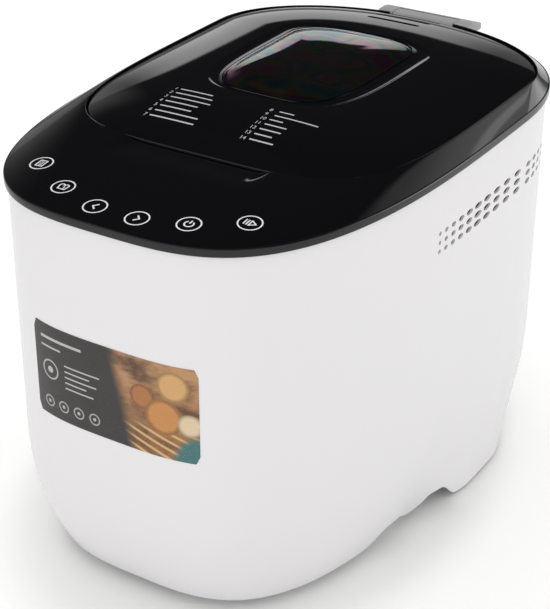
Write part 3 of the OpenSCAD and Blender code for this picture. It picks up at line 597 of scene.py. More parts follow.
@dataclass(frozen=True)
class PrintedLabel(Finish):
    """Plain printed label: a charcoal field and a warm field of discs and furrows under a satin film."""

    aspect: float = 108.0 / 58.0
    loaves: tuple = (  # x, y, radius, colour
        (1.62, 0.78, 0.16, (0.62, 0.36, 0.14)),
        (1.30, 0.60, 0.13, (0.40, 0.16, 0.05)),
        (1.52, 0.44, 0.19, (0.55, 0.24, 0.07)),
        (1.78, 0.40, 0.12, (0.70, 0.55, 0.36)),
    )
    bars: tuple = (  # left, right, low, high
        (0.10, 0.62, 0.845, 0.875),
        (0.10, 0.36, 0.755, 0.775),
        (0.40, 0.82, 0.62, 0.636),
        (0.40, 0.70, 0.56, 0.576),
        (0.40, 0.78, 0.50, 0.516),
        (0.40, 0.66, 0.44, 0.456),
        (0.40, 0.74, 0.38, 0.396),
    )
    badges: tuple = (  # x, y, radii of the ring's outside, its hole and the dot
        *[(0.17 + 0.19 * k, 0.16, (0.062, 0.050, 0.018)) for k in range(4)],
        (0.21, 0.52, (0.105, 0.09, 0.035)),
    )

    def harvest(self, sheet: NodeSheet, plan: LabelMap, slow: Socket) -> Socket:
        """Colour of the warm field: furrows, discs with a darker rind, a dark green corner and crumbs."""
        colour = sheet.tint(sheet.span(plan.v, 0.0, 1.0), (0.30, 0.13, 0.045), (0.48, 0.26, 0.12))
        colour = sheet.tint(sheet.span(slow, 0.4, 0.7), colour, (0.10, 0.045, 0.02))
        slant = sheet.math("ADD", plan.v, sheet.product(plan.u, 0.35))
        furrow = sheet.span(sheet.math("SINE", sheet.product(slant, 70.0)), 0.2, 0.9)
        colour = sheet.tint(sheet.product(furrow, sheet.span(plan.v, 0.34, 0.26)), colour, (0.62, 0.40, 0.17))
        for x, y, radius, crust in self.loaves:
            rind = sheet.tint(plan.disc(x, y, radius * 0.82, 0.02), [0.55 * c for c in crust], crust)
            colour = sheet.tint(plan.disc(x, y, radius), colour, rind)
        colour = sheet.tint(plan.disc(1.9, 0.02, 0.26, 0.05), colour, (0.05, 0.16, 0.16))
        crumbs = sheet.product(sheet.span(sheet.cells(55.0, plan.place), 0.2, 0.1), 0.5)
        return sheet.tint(crumbs, colour, (0.66, 0.50, 0.30))

    def lay(self, sheet: NodeSheet) -> None:
        """The fields meet on a slanted soft edge; pale bars and badges lie over them."""
        plan = LabelMap(sheet, self.aspect)
        slow = sheet.noise(5.0, 3.0, plan.place)
        edge = sheet.math("MULTIPLY_ADD", plan.v, -0.22, 1.16)
        warm = sheet.span(sheet.math("SUBTRACT", plan.u, edge), -0.05, 0.12)
        charcoal = sheet.tint(sheet.noise(7.0, 3.0, plan.place), (0.022, 0.020, 0.020), (0.034, 0.031, 0.030))
        colour = sheet.tint(warm, charcoal, self.harvest(sheet, plan, slow))

        def layer(part: int) -> Socket:
            """The rings' outsides, their holes or the dots."""
            return sheet.highest(*[plan.disc(x, y, radii[part], 0.006) for x, y, radii in self.badges])

        pale = sheet.highest(*[plan.bar(*edges) for edges in self.bars], layer(0))
        pale = sheet.highest(sheet.product(pale, sheet.math("SUBTRACT", 1.0, layer(1))), layer(2))
        sheet.set(
            Base_Color=sheet.tint(sheet.product(pale, 0.75), colour, (0.62, 0.60, 0.58)),
            Roughness=sheet.span(slow, 0.3, 0.7, 0.22, 0.32),
            Normal=sheet.bump(sheet.noise(500.0, 1.0), 0.004),
        )


HOUSING_WHITE = MouldedPlastic("housing white gloss", (0.80, 0.785, 0.80), 0.16, 0.0015, 0.006, 0.006, 0.25)
BASE_WHITE = MouldedPlastic("base white satin", (0.78, 0.77, 0.77), 0.36, 0.012, 0.01, 0.012)
FRAME_BLACK = MouldedPlastic("frame black gloss", (0.0034, 0.0034, 0.0045), 0.045, 0.0004, 0.004, 0.12)
LID_BLACK = MouldedPlastic("lid black gloss", (0.0032, 0.0031, 0.0042), 0.04, 0.0003, 0.004, 0.12)
TRIM_GREY = MouldedPlastic("trim dark satin", (0.006, 0.006, 0.007), 0.13, 0.006, 0.006, 0.06)
HINGE_GREY = MouldedPlastic("hinge cover satin", (0.34, 0.345, 0.34), 0.34, 0.01, 0.006, 0.05)
INLET_BLACK = MouldedPlastic("inlet black matt", (0.03, 0.03, 0.032), 0.45, 0.03, 0.01, 0.1)
PULLEY_BLACK = MouldedPlastic("pulley black nylon", (0.035, 0.035, 0.038), 0.4, 0.02, 0.01, 0.1)
PARTS_DARK = MouldedPlastic("component case", (0.03, 0.03, 0.036), 0.42, 0.02, 0.01, 0.2)
WINDOW_CLEAR = ClearPane("window clear", (0.50, 0.52, 0.53), (187.2, 436.8))
GLASS_CLEAR = ClearPane("inner glass", (0.90, 0.95, 0.93))
LABEL_FILM = PrintedLabel("label film", (0.03, 0.03, 0.03))
INK_WHITE = Ink("panel ink white", (0.80, 0.80, 0.82))
INK_PALE = Ink("lid ink pale", (0.52, 0.52, 0.54))
BOARD_GREEN = CircuitBoard("touch board green", (0.015, 0.12, 0.05))
BOARD_BROWN = CircuitBoard("power board brown", (0.25, 0.14, 0.045))
STEEL = Metal("zinc plated steel", (0.60, 0.61, 0.63), 0.34, (1.0, 1.0, 0.08), 0.01)
POLISHED = Metal("turned steel", (0.66, 0.66, 0.68), 0.2, (0.1, 1.0, 1.0), 0.004)
LINER_METAL = Metal("lid liner aluminium", (0.70, 0.71, 0.72), 0.34, (0.06, 1.0, 1.0), 0.012)
CHAMBER_METAL = Metal("chamber aluminised steel", (0.56, 0.57, 0.58), 0.42, (1.0, 1.0, 0.25), 0.02, 260.0)
CAST_METAL = Metal("cast aluminium", (0.60, 0.61, 0.62), 0.48, (1.0, 1.0, 1.0), 0.05, 500.0)
HEATER_METAL = Metal("heater sheath", (0.17, 0.16, 0.16), 0.5, (1.0, 1.0, 1.0), 0.03, 700.0)
MOTOR_METAL = Metal("motor can", (0.36, 0.37, 0.39), 0.36, (1.0, 1.0, 0.1), 0.012)
BRONZE = Metal("sintered bronze", (0.55, 0.40, 0.20), 0.42, (1.0, 1.0, 1.0), 0.03, 1200.0)
PAN_COATING = NonStick("pan coating", (0.055, 0.055, 0.060))
PADDLE_COATING = NonStick("paddle coating", (0.040, 0.040, 0.044))
FOOT_RUBBER = Rubber("foot rubber", (0.05, 0.05, 0.052))
SEAL_RUBBER = Rubber("seal silicone", (0.40, 0.41, 0.42))
BELT_RUBBER = Rubber("belt rubber", (0.022, 0.022, 0.024))

CAD_FINISHES = {  # nodes that keep their CAD shape
    BASE_WHITE: "base_plate",
    INLET_BLACK: "cord_inlet",
    FOOT_RUBBER: "base_feet",
    STEEL: "base_screws touch_pads heater_clips bail_ears motor_bracket",
    POLISHED: "lid_screws hinge_pin temp_probe bail paddle_shaft drive_shaft motor_shaft",
    CAST_METAL: "pan_seat pan_base driven_wing drive_bearing drive_coupler motor_pulley",
    CHAMBER_METAL: "chamber",
    HEATER_METAL: "heater_tube",
    MOTOR_METAL: "motor",
    BRONZE: "pan_bush",
    PAN_COATING: "bread_pan",
    PADDLE_COATING: "kneading_paddle",
    PULLEY_BLACK: "big_pulley",
    BELT_RUBBER: "drive_belt",
    BOARD_GREEN: "touch_board",
    BOARD_BROWN: "power_board",
    PARTS_DARK: "board_parts",
}


def place_piece(
    mesh: Mesh, finish: Finish, body: str, stands_for: Sequence[str] = ()
) -> Object:
    """Puts a finished mesh in the scene.

    Args:
        mesh: closed mesh in metres, in the CAD frame.
        finish: its finish.
        body: CAD body that it rides on.
        stands_for: CAD nodes that it replaces.

    Returns:
        The new object, at the origin, unturned and unscaled.
    """
    obj = added(mesh.name, mesh)
    mesh.shade_smooth()
    mesh.set_sharp_from_angle(angle=CREASE)
    mesh.materials.clear()
    mesh.materials.append(finish.material())
    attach(obj, body)
    if stands_for:
        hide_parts(*stands_for)
    LOG.info("%s on %s: %d faces", obj.name, body, len(mesh.polygons))
    return obj


def dress_node(node: str, finish: Finish) -> None:
    """Gives a CAD node its finish in every material slot."""
    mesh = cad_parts[node].data
    if not mesh.materials:
        mesh.materials.append(None)
    for index in range(len(mesh.materials)):
        mesh.materials[index] = finish.material()
    LOG.info("%s dressed as %s", node, finish.name)


# ---- housing


@dataclass
class Housing:
    """White tub-shaped shell with lifting arches, vents and the cord's hole."""

    skirt_gap: float = 6.0
    rear_gap: float = 2.0
    top: float = 235.0
    wall: float = 1.6
    tuck_side: float = 14.0
    tuck_front: float = 17.0
    tuck_height: float = 75.0
    arch: tuple = (-76.0, 12.0, 14.0, 18.0)  # start and end in y, height, run of each end
    lobe: tuple = (-30.0, 14.0)  # middle in y, half length
    rows: int = 3
    columns: int = 10
    corner_columns: int = 4
    vent_top: float = 203.6
    vent_step: float = 5.6
    vent_small: float = 2.8
    vent_large: float = 3.5
    vent_stretch: float = 2.6
    inlet: tuple = (-70.0, 34.0)  # x and z
    inlet_radius: float = 6.0

    def wall_points(self, z: Array, inset: Array | float) -> Array:
        """Points of the wall: the rim curve with each reach shortened by its own tuck at that height.

        The share of the tuck is (1 - (z - gap) / height) ** 2.2, and none above. The sides' tuck
        eases out between y = -45 and 25 and comes back round the rear.

        Args:
            z: heights, shape (k, n).
            inset: distance inwards, a number or shape (k, 1).
        """
        share = np.maximum(0, 1 - (z - self.skirt_gap) / self.tuck_height) ** 2.2
        level = RIM.at(FINE)[:, 1]
        kept = 1 - 0.92 * eased((level + 45) / 70) + 0.75 * eased((level - 58) / 55)
        return raised(RIM.at(FINE, self.tuck_side * share * kept + inset, self.tuck_front * share + inset), z)

    def lower_edge(self) -> Array:
        """Height of the lower edge round the tub: the gap, or the arch's raised-cosine ends and lobed roof.

        The lobe hangs down as 1 - ((y - middle) / half) ** 2 over three quarters of the rise, and the
        gap narrows behind the arch. The arch is set by y and y by the height, so the two are worked
        out in turn a few times.
        """
        start, end, height, run = self.arch
        middle, half = self.lobe
        z = np.full((1, len(FINE)), self.skirt_gap)
        for _ in range(6):
            y = self.wall_points(z, 0.0)[..., 1]
            w = np.clip(np.minimum(y - start, end - y) / run, 0, 1)
            lobe = 0.75 * np.clip(1 - ((y - middle) / half) ** 2, 0, 1)
            gap = self.skirt_gap + (self.rear_gap - self.skirt_gap) * eased((y - end + run) / run)
            z = gap + (height - gap) * (1 - np.cos(np.pi * w)) / 2 * (1 - lobe)
        return z

    def shell(self) -> Array:
        """Rings of the outer wall from the rounded lower edge up and of the inner wall down."""
        low = self.lower_edge()
        lip = np.array([[0.0, 0.8], [0.22, 0.36], [0.5, 0.13], [0.9, 0.0]])  # rise and inset
        climb = (np.linspace(0, 1, 56) ** 1.35)[1:, None]
        fall = np.linspace(1, 0, 14)[:, None] ** 1.35
        up = low + lip[-1, 0] + (self.top - low - lip[-1, 0]) * climb
        z = np.concatenate([low + lip[:, :1], up, low + (self.top - low) * fall])
        inset = np.concatenate([lip[:, 1], np.zeros(len(climb)), np.full(len(fall), self.wall)])
        return self.wall_points(z, inset[:, None])

    def vents(self) -> Shell:
        """Cutters of the vents: dots that grow to ovals to the rear, and a group at each rear corner.

        The columns stand at y = y0 + 6.6 i + 0.46 i * i; the corner's stand every 4.45 degrees.
        """
        i, c = np.arange(self.columns), np.arange(self.corner_columns)
        y = -35.0 + 6.6 * i + 0.46 * i**2
        t = np.radians(95.7 + 4.45 * c)
        corner = RIM.at(t)
        along = RIM.at(t + np.radians(1.0)) - corner
        normal = np.stack([along[:, 1], -along[:, 0]], -1) / np.linalg.norm(along, axis=1)[:, None]
        spot = np.concatenate([np.stack([RIM.side_x(y), y], -1), corner])
        way = np.concatenate([np.tile([1.0, 0.0], (len(i), 1)), normal])
        spot, way = (np.concatenate([half, half * [-1, 1]]) for half in (spot, way))
        grown = np.tile(np.concatenate([np.minimum(1, i / 5), 0.8 - 0.15 * c]), 2 * self.rows)
        z = np.repeat(self.vent_top - self.vent_step * np.arange(self.rows), len(spot))
        centre = raised(np.tile(spot, (self.rows, 1)), z)
        radius = (self.vent_small + (self.vent_large - self.vent_small) * grown) / 2
        wide = 1 + (self.vent_stretch - 1) * grown
        return rods(centre, raised(np.tile(way, (self.rows, 1)), 0.0), radius, 8.0, 20, wide)

    def inlet_hole(self) -> Shell:
        """Cutter of the cord's hole, square to the rear wall; the slope is the curve's derivative."""
        x, z = self.inlet
        share, n = abs(x) / RIM.half_width, RIM.rear_sq
        y = RIM.centre_y + RIM.rear * (1 - share**n) ** (1 / n)
        slope = math.atan(RIM.rear / RIM.half_width * share ** (n - 1) * (1 - share**n) ** (1 / n - 1))
        return rod([x, y, z], [-math.sin(slope), math.cos(slope), 0.0], self.inlet_radius, 18.0, 40)

    def build(self) -> None:
        """Makes the shell."""
        shell = carved(looped("housing_shell", self.shell()), joined([self.vents(), self.inlet_hole()]))
        place_piece(shell, HOUSING_WHITE, "base", ["body_shell"])


@dataclass
class FrontLabel:
    """Thin printed label that follows the curved front."""

    half_width: float = 54.0
    low: float = 110.5
    high: float = 168.5
    columns: int = 73
    rows: int = 13
    corner: float = 2.0
    lift: float = 0.35
    thickness: float = 0.30

    def build(self) -> None:
        """A grid on the front, its edge folded back to the wall; the corners pull in on a quarter circle."""
        rows, columns = self.rows, self.columns
        u, v = np.meshgrid(np.linspace(0, 1, columns), np.linspace(0, 1, rows))
        x, z = (2 * u - 1) * self.half_width, self.low + (self.high - self.low) * v
        depth = np.minimum(z - self.low, self.high - z)
        pull = self.corner - np.sqrt(np.maximum(0, self.corner**2 - np.maximum(0, self.corner - depth) ** 2))
        x = x * (1 - pull / self.half_width)
        face = np.stack([x, RIM.front_y(x) - self.lift, z], -1).reshape(-1, 3)
        number = np.arange(rows * columns).reshape(rows, columns)
        corners = number[:-1, :-1], number[:-1, 1:], number[1:, 1:], number[1:, :-1]
        quads = np.stack(corners, -1).reshape(-1, 4)
        edge = np.concatenate([number[0], number[1:, -1], number[-1, -2::-1], number[-2:0:-1, 0]])
        after, count = np.roll(edge, -1), number.size
        rim = np.stack([after, edge, edge + count, after + count], -1)
        points = np.concatenate([face, face + [0, self.thickness, 0]])
        mesh = make_mesh("label_film", points, [quads, quads[:, ::-1] + count, rim])
        layer = mesh.uv_layers.new(name="label")
        corners = np.empty(len(mesh.loops), np.int32)
        mesh.loops.foreach_get("vertex_index", corners)
        uv = np.stack([u.ravel(), v.ravel()], -1)
        layer.data.foreach_set("uv", np.tile(uv, (2, 1))[corners].astype(np.float32).ravel())
        place_piece(mesh, LABEL_FILM, "base", ["front_label"])


# ---- top frame


def slope_height(w: Array | float) -> Array:
    """Height of the frame's slope: 240 + 8.2 * (1 - (1 - w) ** 1.15), w = 0 at the trim and 1 at the lid."""
    return 240.0 + 8.2 * (1 - (1 - w) ** 1.15)


@dataclass
class TopFrame:
    """Black gloss frame round the lid, with its trim strip, touch panel and finger recess."""

    rim_z: float = 240.0
    deck_z: float = 243.0
    mouth: tuple = (82.0, 100.0)
    brink: float = 0.8
    recess: tuple = (51.0, -124.5, 2.8)  # half width, front, depth
    trim_out: float = 1.8
    trim_low: float = 235.0
    trim_roll: float = 0.8
    bay: tuple = ((33.3, (164.2, 190.0), (239.0, 252.0)), (23.6, (160.0, 173.0), (243.0, 252.0)))

    def body(self) -> Mesh:
        """One slope from the trim strip to the lid's recess, then the recess wall, deck and mouth.

        Ring w is a mix of the outer outline and the recess outline; the brink rolls over on a quarter circle.
        """
        outer, inner = RIM.at(FINE, -0.8), LID.at(FINE, -self.brink)
        w = np.concatenate([np.linspace(0, 1, 56) ** 1.2 * 0.955, [0.975, 0.988]])[:, None]
        slope = raised(outer * (1 - w[..., None]) + inner * w[..., None], slope_height(w))
        turn = np.linspace(0.35, 1, 5) * math.pi / 2
        inset, height = -self.brink - 0.7 * (1 - np.sin(turn)), slope_height(1.0) - 0.75 * (1 - np.cos(turn))
        roll = LID.rings(FINE, inset, height)
        for part in (slope, roll):
            part[..., 2] -= self.hollow(part)
        wall = LID.rings(FINE, [-self.brink], [self.deck_z])
        mouth = box_curve(*self.mouth).rings(FINE, [0, 0], [self.deck_z, self.rim_z])
        return looped("panel_frame", slope, roll, wall, mouth, RIM.rings(FINE, [7.0], [self.rim_z]))

    def hollow(self, points: Array) -> Array:
        """Depth of the finger recess at points: depth * e(a) * e(b), where e is the eased step.

        a runs over the last 14 mm of each end and b over the 26 mm in front of the lid.
        """
        half, front, depth = self.recess
        ends = eased((half - np.abs(points[..., 0])) / 14)
        return depth * ends * eased((points[..., 1] - front) / 26) * (points[..., 1] < 0)

    def trim(self) -> Mesh:
        """Trim strip: its outer edges roll over on quarter circles."""
        bend = np.linspace(0, math.pi / 2, 6)
        rise, fall = self.trim_roll * (1 - np.cos(bend)), self.trim_roll * (1 - np.sin(bend))
        inset = np.concatenate([fall, rise]) - self.trim_out
        height = np.concatenate([self.trim_low + rise, self.rim_z - fall, [self.rim_z, self.trim_low]])
        return looped("trim_strip", RIM.rings(FINE, np.append(inset, [7.0, 7.0]), height))

    def build(self) -> None:
        """Makes the trim strip and the frame with the hinge's bay, then prints the touch buttons on it."""
        place_piece(self.trim(), TRIM_GREY, "base", ["trim_ring"])
        mesh = carved(self.body(), *[block(*limits) for limits in self.bay])
        panel = place_piece(mesh, FRAME_BLACK, "base", ["top_frame"])
        ButtonPrint().build(panel)


@dataclass
class ButtonPrint:
    """White rings and plain symbols of the six touch buttons."""

    radius: float = 6.35
    line: float = 0.8
    spots_x: tuple = (-69.0, -41.3, -13.6, 13.1, 39.8, 66.1)
    spots_y: tuple = (-145.4, -161.7, -170.5, -170.5, -163.0, -147.2)

    def symbols(self) -> list[list[Shell]]:
        """Strokes of each symbol round the origin, left to right: page, loaf, back, next, power and run."""
        page = [stroke([[-2.2, -2.9], [2.2, -2.9], [2.2, 2.9], [-2.2, 2.9]], 0.75, True)]
        page += [stroke([[-1.1, y], [1.1, y]], 0.6) for y in (-1.4, 0.0, 1.4)]
        tops = arc(1.5, 20, 175, 8, (1.4, 1.0)), arc(1.5, 10, 200, 8, (-1.3, 1.0))
        loaf = stroke(np.concatenate([*tops, [[-2.1, -2.3], [2.3, -2.3]]]), 0.75, True)
        arrows = [[stroke([[-1.1 * way, 2.5], [1.3 * way, 0.0], [-1.1 * way, -2.5]], 0.9)] for way in (-1, 1)]
        power = [stroke(arc(2.5, 125, 415, 28), 0.85), stroke([[0.0, 0.4], [0.0, 3.4]], 0.85)]
        run = [stroke([[x, -2.3], [x, 2.3]], 0.8) for x in (-2.9, -1.3)]
        run.append(stroke([[0.2, -2.2], [3.5, 0.0], [0.2, 2.2]], 0.75, True))
        return [page, [loaf, stroke([[0.9, -2.2], [0.9, 0.6]], 0.55)], *arrows, power, run]

    def build(self, panel: Object) -> None:
        """Lays every ring and symbol on the panel as one print."""
        shells = []
        ring = stroke(arc(self.radius, 0, 360 * 63 / 64, 64), self.line, True)
        for strokes, x, y in zip(self.symbols(), self.spots_x, self.spots_y):
            shells += [(points + [x, y, 0.0], faces) for points, faces in (ring, *strokes)]
        mesh = laid_on(make_mesh("button_print", *joined(shells)), panel)
        place_piece(mesh, INK_WHITE, "base")


# ---- lid


def crown_height(u: Array | float) -> Array:
    """Height of the lid's crown: edge + 12 * (1 - u ** 2.4), u = 0 at the window and 1 at the edge."""
    return Lid.edge + 12.0 * (1 - u**2.4)


@dataclass
class Lid:
    """Domed black lid with its window, slots, print and everything under it."""

    bottom: float = 243.4
    wall: float = 2.4
    inset: float = 0.6  # of the crown inside the side wall
    edge: float = 247.2
    slot_y: float = 124.0
    slot_step: float = 13.0
    slot_radius: float = 2.1
    slot_half: float = 16.5
    dome_rise: float = 6.0
    pane: float = 2.0
    tongue_half: float = 22.0
    cover_half: float = 33.0
    pin: tuple = (173.0, 244.5)

    def crown(self, u: Numbers, drop: Array | float = 0.0) -> Array:
        """Rings of the crown: window and lid outlines mixed with shares u, (k, 1) or (k, n), and a drop."""
        u = np.broadcast_to(np.asarray(u, float), (len(u), len(FINE)))
        flat = WINDOW.at(FINE) * (1 - u[..., None]) + LID.at(FINE, self.inset) * u[..., None]
        return raised(flat, crown_height(u) - drop)

    def shell(self) -> Mesh:
        """Side wall, rolled edge, crown, shallow moat, collar under the window and the inside.

        The edge rolls on a circle of 1 mm. The moat dips 1.1 mm as sin(pi * r ** 0.75) and lies
        wide at the sides and narrow in front, as width = 0.055 + 0.10 * sin(t) ** 2.
        """
        turn = np.linspace(0, 1.08, 7)
        height = np.append(self.bottom, self.edge - 0.9 + np.sin(turn))
        side = LID.rings(FINE, np.append(0.0, 1 - np.cos(turn)), height)
        flank = 0.055 + 0.10 * np.sin(FINE) ** 2
        share = np.linspace(0, 1, 70)[:, None] ** 1.35
        crown = self.crown(0.993 + (0.012 + flank - 0.993) * share)
        rise = np.linspace(0, 1, 12)[:, None]
        moat_u = (0.008 + flank) * (1 - rise) ** 1.3 + 0.004 * rise
        moat = self.crown(moat_u, 1.1 * np.sin(math.pi * rise**0.75))
        seat = self.crown([[0.0]], self.wall)
        collar = WINDOW.rings(FINE, [0.3, 0.3, -1.2, -1.2], [254.0, 242.9, 242.9, 253.0])
        inside = self.crown([[0.1], [0.3], [0.5], [0.7], [0.82], [0.92], [0.97]], self.wall)
        skirt = LID.rings(FINE, [self.wall, self.wall], [245.4, self.bottom])
        return looped("lid_crown", side, crown, moat, seat, collar, inside, skirt)

    def slots(self) -> Shell:
        """Cutters of three round-ended slots behind the window, each 1 mm longer to a side than the last."""
        ends = np.concatenate([arc(self.slot_radius, -90, 90, 12), arc(self.slot_radius, 90, 270, 12)])
        k = np.arange(3)[:, None]
        outline = np.tile(ends, (3, 1, 1))
        outline[..., 0] += np.where(np.arange(24) < 12, 1, -1) * (self.slot_half + k)
        base = [0, self.slot_y, 248] + k * [0, self.slot_step, 0]
        return prisms(raised(outline, 0.0), base, [[0, 0, 20]] * 3)

    def tongue(self) -> Shell:
        """Hinge tongue: a low strap behind the lid, then flush with the cover to its round knuckle."""
        strap = [[161.3, 245.6], [164.6, 245.6], [165.2, 246.9], [165.8, 247.4], [167.0, 247.5]]
        knuckle = arc(3.0, 90, -168, 24, self.pin)
        return swept(np.concatenate([strap, knuckle, [[161.3, self.bottom]]]), self.tongue_half)

    def hinge_cover(self) -> Mesh:
        """Hinge cover: one rounded profile swept across, less the tongue's slot and the pin's bore."""
        corner, tail = arc(2.2, 168, 100, 6, (166.75, 245.35)), arc(1.6, 80, 4, 6, (184.2, 242.9))
        foot = [[185.8, 240.6], [185.2, 240.05], [165.2, 240.05], [164.5, 240.7]]
        profile = np.concatenate([corner, [[174.5, 247.62], [180.0, 246.3]], tail, foot])
        slot = block(self.tongue_half + 0.5, (160.0, 176.6), (238.0, 250.0))
        bore = rod([0.0, *self.pin], [1.0, 0.0, 0.0], 1.52, 29.0, 32)
        return carved(make_mesh("hinge_cover", *swept(profile, self.cover_half)), slot, bore)

    def dome(self) -> Shell:
        """Window: z = base + rise * (1 - s ** p) over its outline scaled by s, 2 mm thick, with a flat lip.

        The power p eases from 2.6 at the rear to 4.2 at the sides and in front, where the pane lies flatter.
        """
        middle = np.array([0.0, WINDOW.centre_y - (WINDOW.front - WINDOW.rear) / 2])
        outline = WINDOW.at(FINE, 0.25) - middle
        curve = np.linspace(1, 0.02, 26)
        s = np.concatenate([[1.0, 0.985, 0.965], 0.955 * curve])
        base = crown_height(0.0) + 0.4
        power = 4.2 - 1.6 * eased(0.5 - 0.7 * np.cos(FINE))
        top = base + 0.15 + (self.dome_rise - 0.15) * (1 - curve[:, None] ** power)
        lip = np.tile(base + np.array([[-0.25], [0.0], [0.05]]), len(FINE))
        z = np.concatenate([lip, top])

        def rings(scale: Array, height: Array | float) -> Array:
            """Scaled outlines at their heights."""
            return raised(middle + outline * scale[:, None, None], height)

        inner = rings(s[2:][::-1] * 0.97, z[2:][::-1] - self.pane)
        foot = rings(np.array([0.97, 1.0]), crown_height(0.0) - self.wall + 0.2)
        return skin(np.concatenate([inner, foot, rings(s, z)]), Ends.POLES)

    def build(self) -> None:
        """Makes the lid's pieces."""
        shell = carved(self.shell(), self.slots())
        tongue = make_mesh("lid_tongue", *self.tongue())
        top = place_piece(shell, LID_BLACK, "lid", ["lid_shell"])
        place_piece(tongue, HINGE_GREY, "lid", ())
        place_piece(self.hinge_cover(), HINGE_GREY, "base", ["hinge_block"])
        dome = make_mesh("window_dome", *self.dome())
        place_piece(dome, WINDOW_CLEAR, "lid", ["lid_window"])
        ProgrammePrint().build(top)
        LidUnderside().build()


@dataclass
class ProgrammePrint:
    """Two columns of plain numbers on the lid, each beside a bare stroke."""

    pitch: float = 5.15
    first_y: float = -47.6
    size: float = 4.0
    width: float = 1.05
    columns: tuple = (  # x of the numbers, start of the strokes, their lengths
        (-49.0, 4.0, (22.0, 25.0, 27.0, 22.0, 21.0, 29.0, 29.5)),
        (15.2, 6.2, (9.5, 28.0, 8.5, 14.0, 13.5, 11.0, 15.0)),
    )

    def numeral(self, number: int, x: float, y: float) -> Shell:
        """One number as flat faces, made from a text curve."""
        curve = bpy.data.curves.new("numeral", "FONT")
        curve.body, curve.size, curve.fill_mode = str(number), 1.0, "FRONT"
        curve.resolution_u = 3
        obj = added("numeral", curve)
        mesh = settled(obj)
        points = np.empty(len(mesh.vertices) * 3, np.float32)
        mesh.vertices.foreach_get("co", points)
        mesh.calc_loop_triangles()
        faces = np.empty(len(mesh.loop_triangles) * 3, np.int32)
        mesh.loop_triangles.foreach_get("vertices", faces)
        bpy.data.objects.remove(obj)
        points = points.reshape(-1, 3).astype(float) * [self.size, self.size, 0.0]
        return points + [x, y, PRINT_Z], [faces.reshape(-1, 3)]

    def build(self, lid: Object) -> None:
        """Lays numbers and strokes on the lid as one print."""
        shells = []
        for x, gap, lengths in self.columns:
            for row, length in enumerate(lengths):
                y = self.first_y - self.pitch * row
                path = np.stack([np.linspace(x + gap, x + gap + length, 14), np.full(14, y)], -1)
                shells += [self.numeral(len(shells) // 2 + 1, x, y - 1.4), stroke(path, self.width)]
        mesh = laid_on(make_mesh("programme_print", *joined(shells)), lid)
        place_piece(mesh, INK_PALE, "lid")


@dataclass
class LidUnderside:
    """Metal liner, inner glass and silicone seal under the lid."""

    liner_z: float = 243.5
    half: tuple = (79.0, 97.0)
    sheet: float = 1.2

    def build(self) -> None:
        """Makes the three pieces as smooth ring stacks."""
        z, (hw, hl) = self.liner_z, self.half
        flange = LID.rings(COARSE, [2.7, 2.7], [z, z + self.sheet])
        inner = box_curve(hw - self.sheet, hl - self.sheet).rings(COARSE, [0, 0], [z + self.sheet, z - 3.8])
        hole = WINDOW.rings(COARSE, [2, 2], [z - 3.8, z - 5.0])
        outer = box_curve(hw, hl).rings(COARSE, [0.8, 0.3, 0, 0], [z - 5.0, z - 4.8, z - 4.3, z])
        liner = looped("liner_sheet", flange, inner, hole, outer)
        place_piece(liner, LINER_METAL, "lid", ["lid_liner"])
        pane = WINDOW.rings(COARSE, [-4.4, -5, -5, -4.4], [z - 3.75, z - 3.2, z - 1.6, z - 1.0])
        glass = make_mesh("inner_pane", *skin(pane, Ends.POLES))
        place_piece(glass, GLASS_CLEAR, "lid", ["inner_glass"])
        outside = box_curve(81.6, 99.6).rings(COARSE, [0.5, 0, 0, 0.5], [z - 2.8, z - 2.3, z - 0.6, z - 0.05])
        inside = box_curve(79.05, 97.05).rings(COARSE, [0, 0], [z - 0.05, z - 2.8])
        place_piece(looped("silicone_seal", outside, inside), SEAL_RUBBER, "lid", ["lid_seal"])


# ---- studio


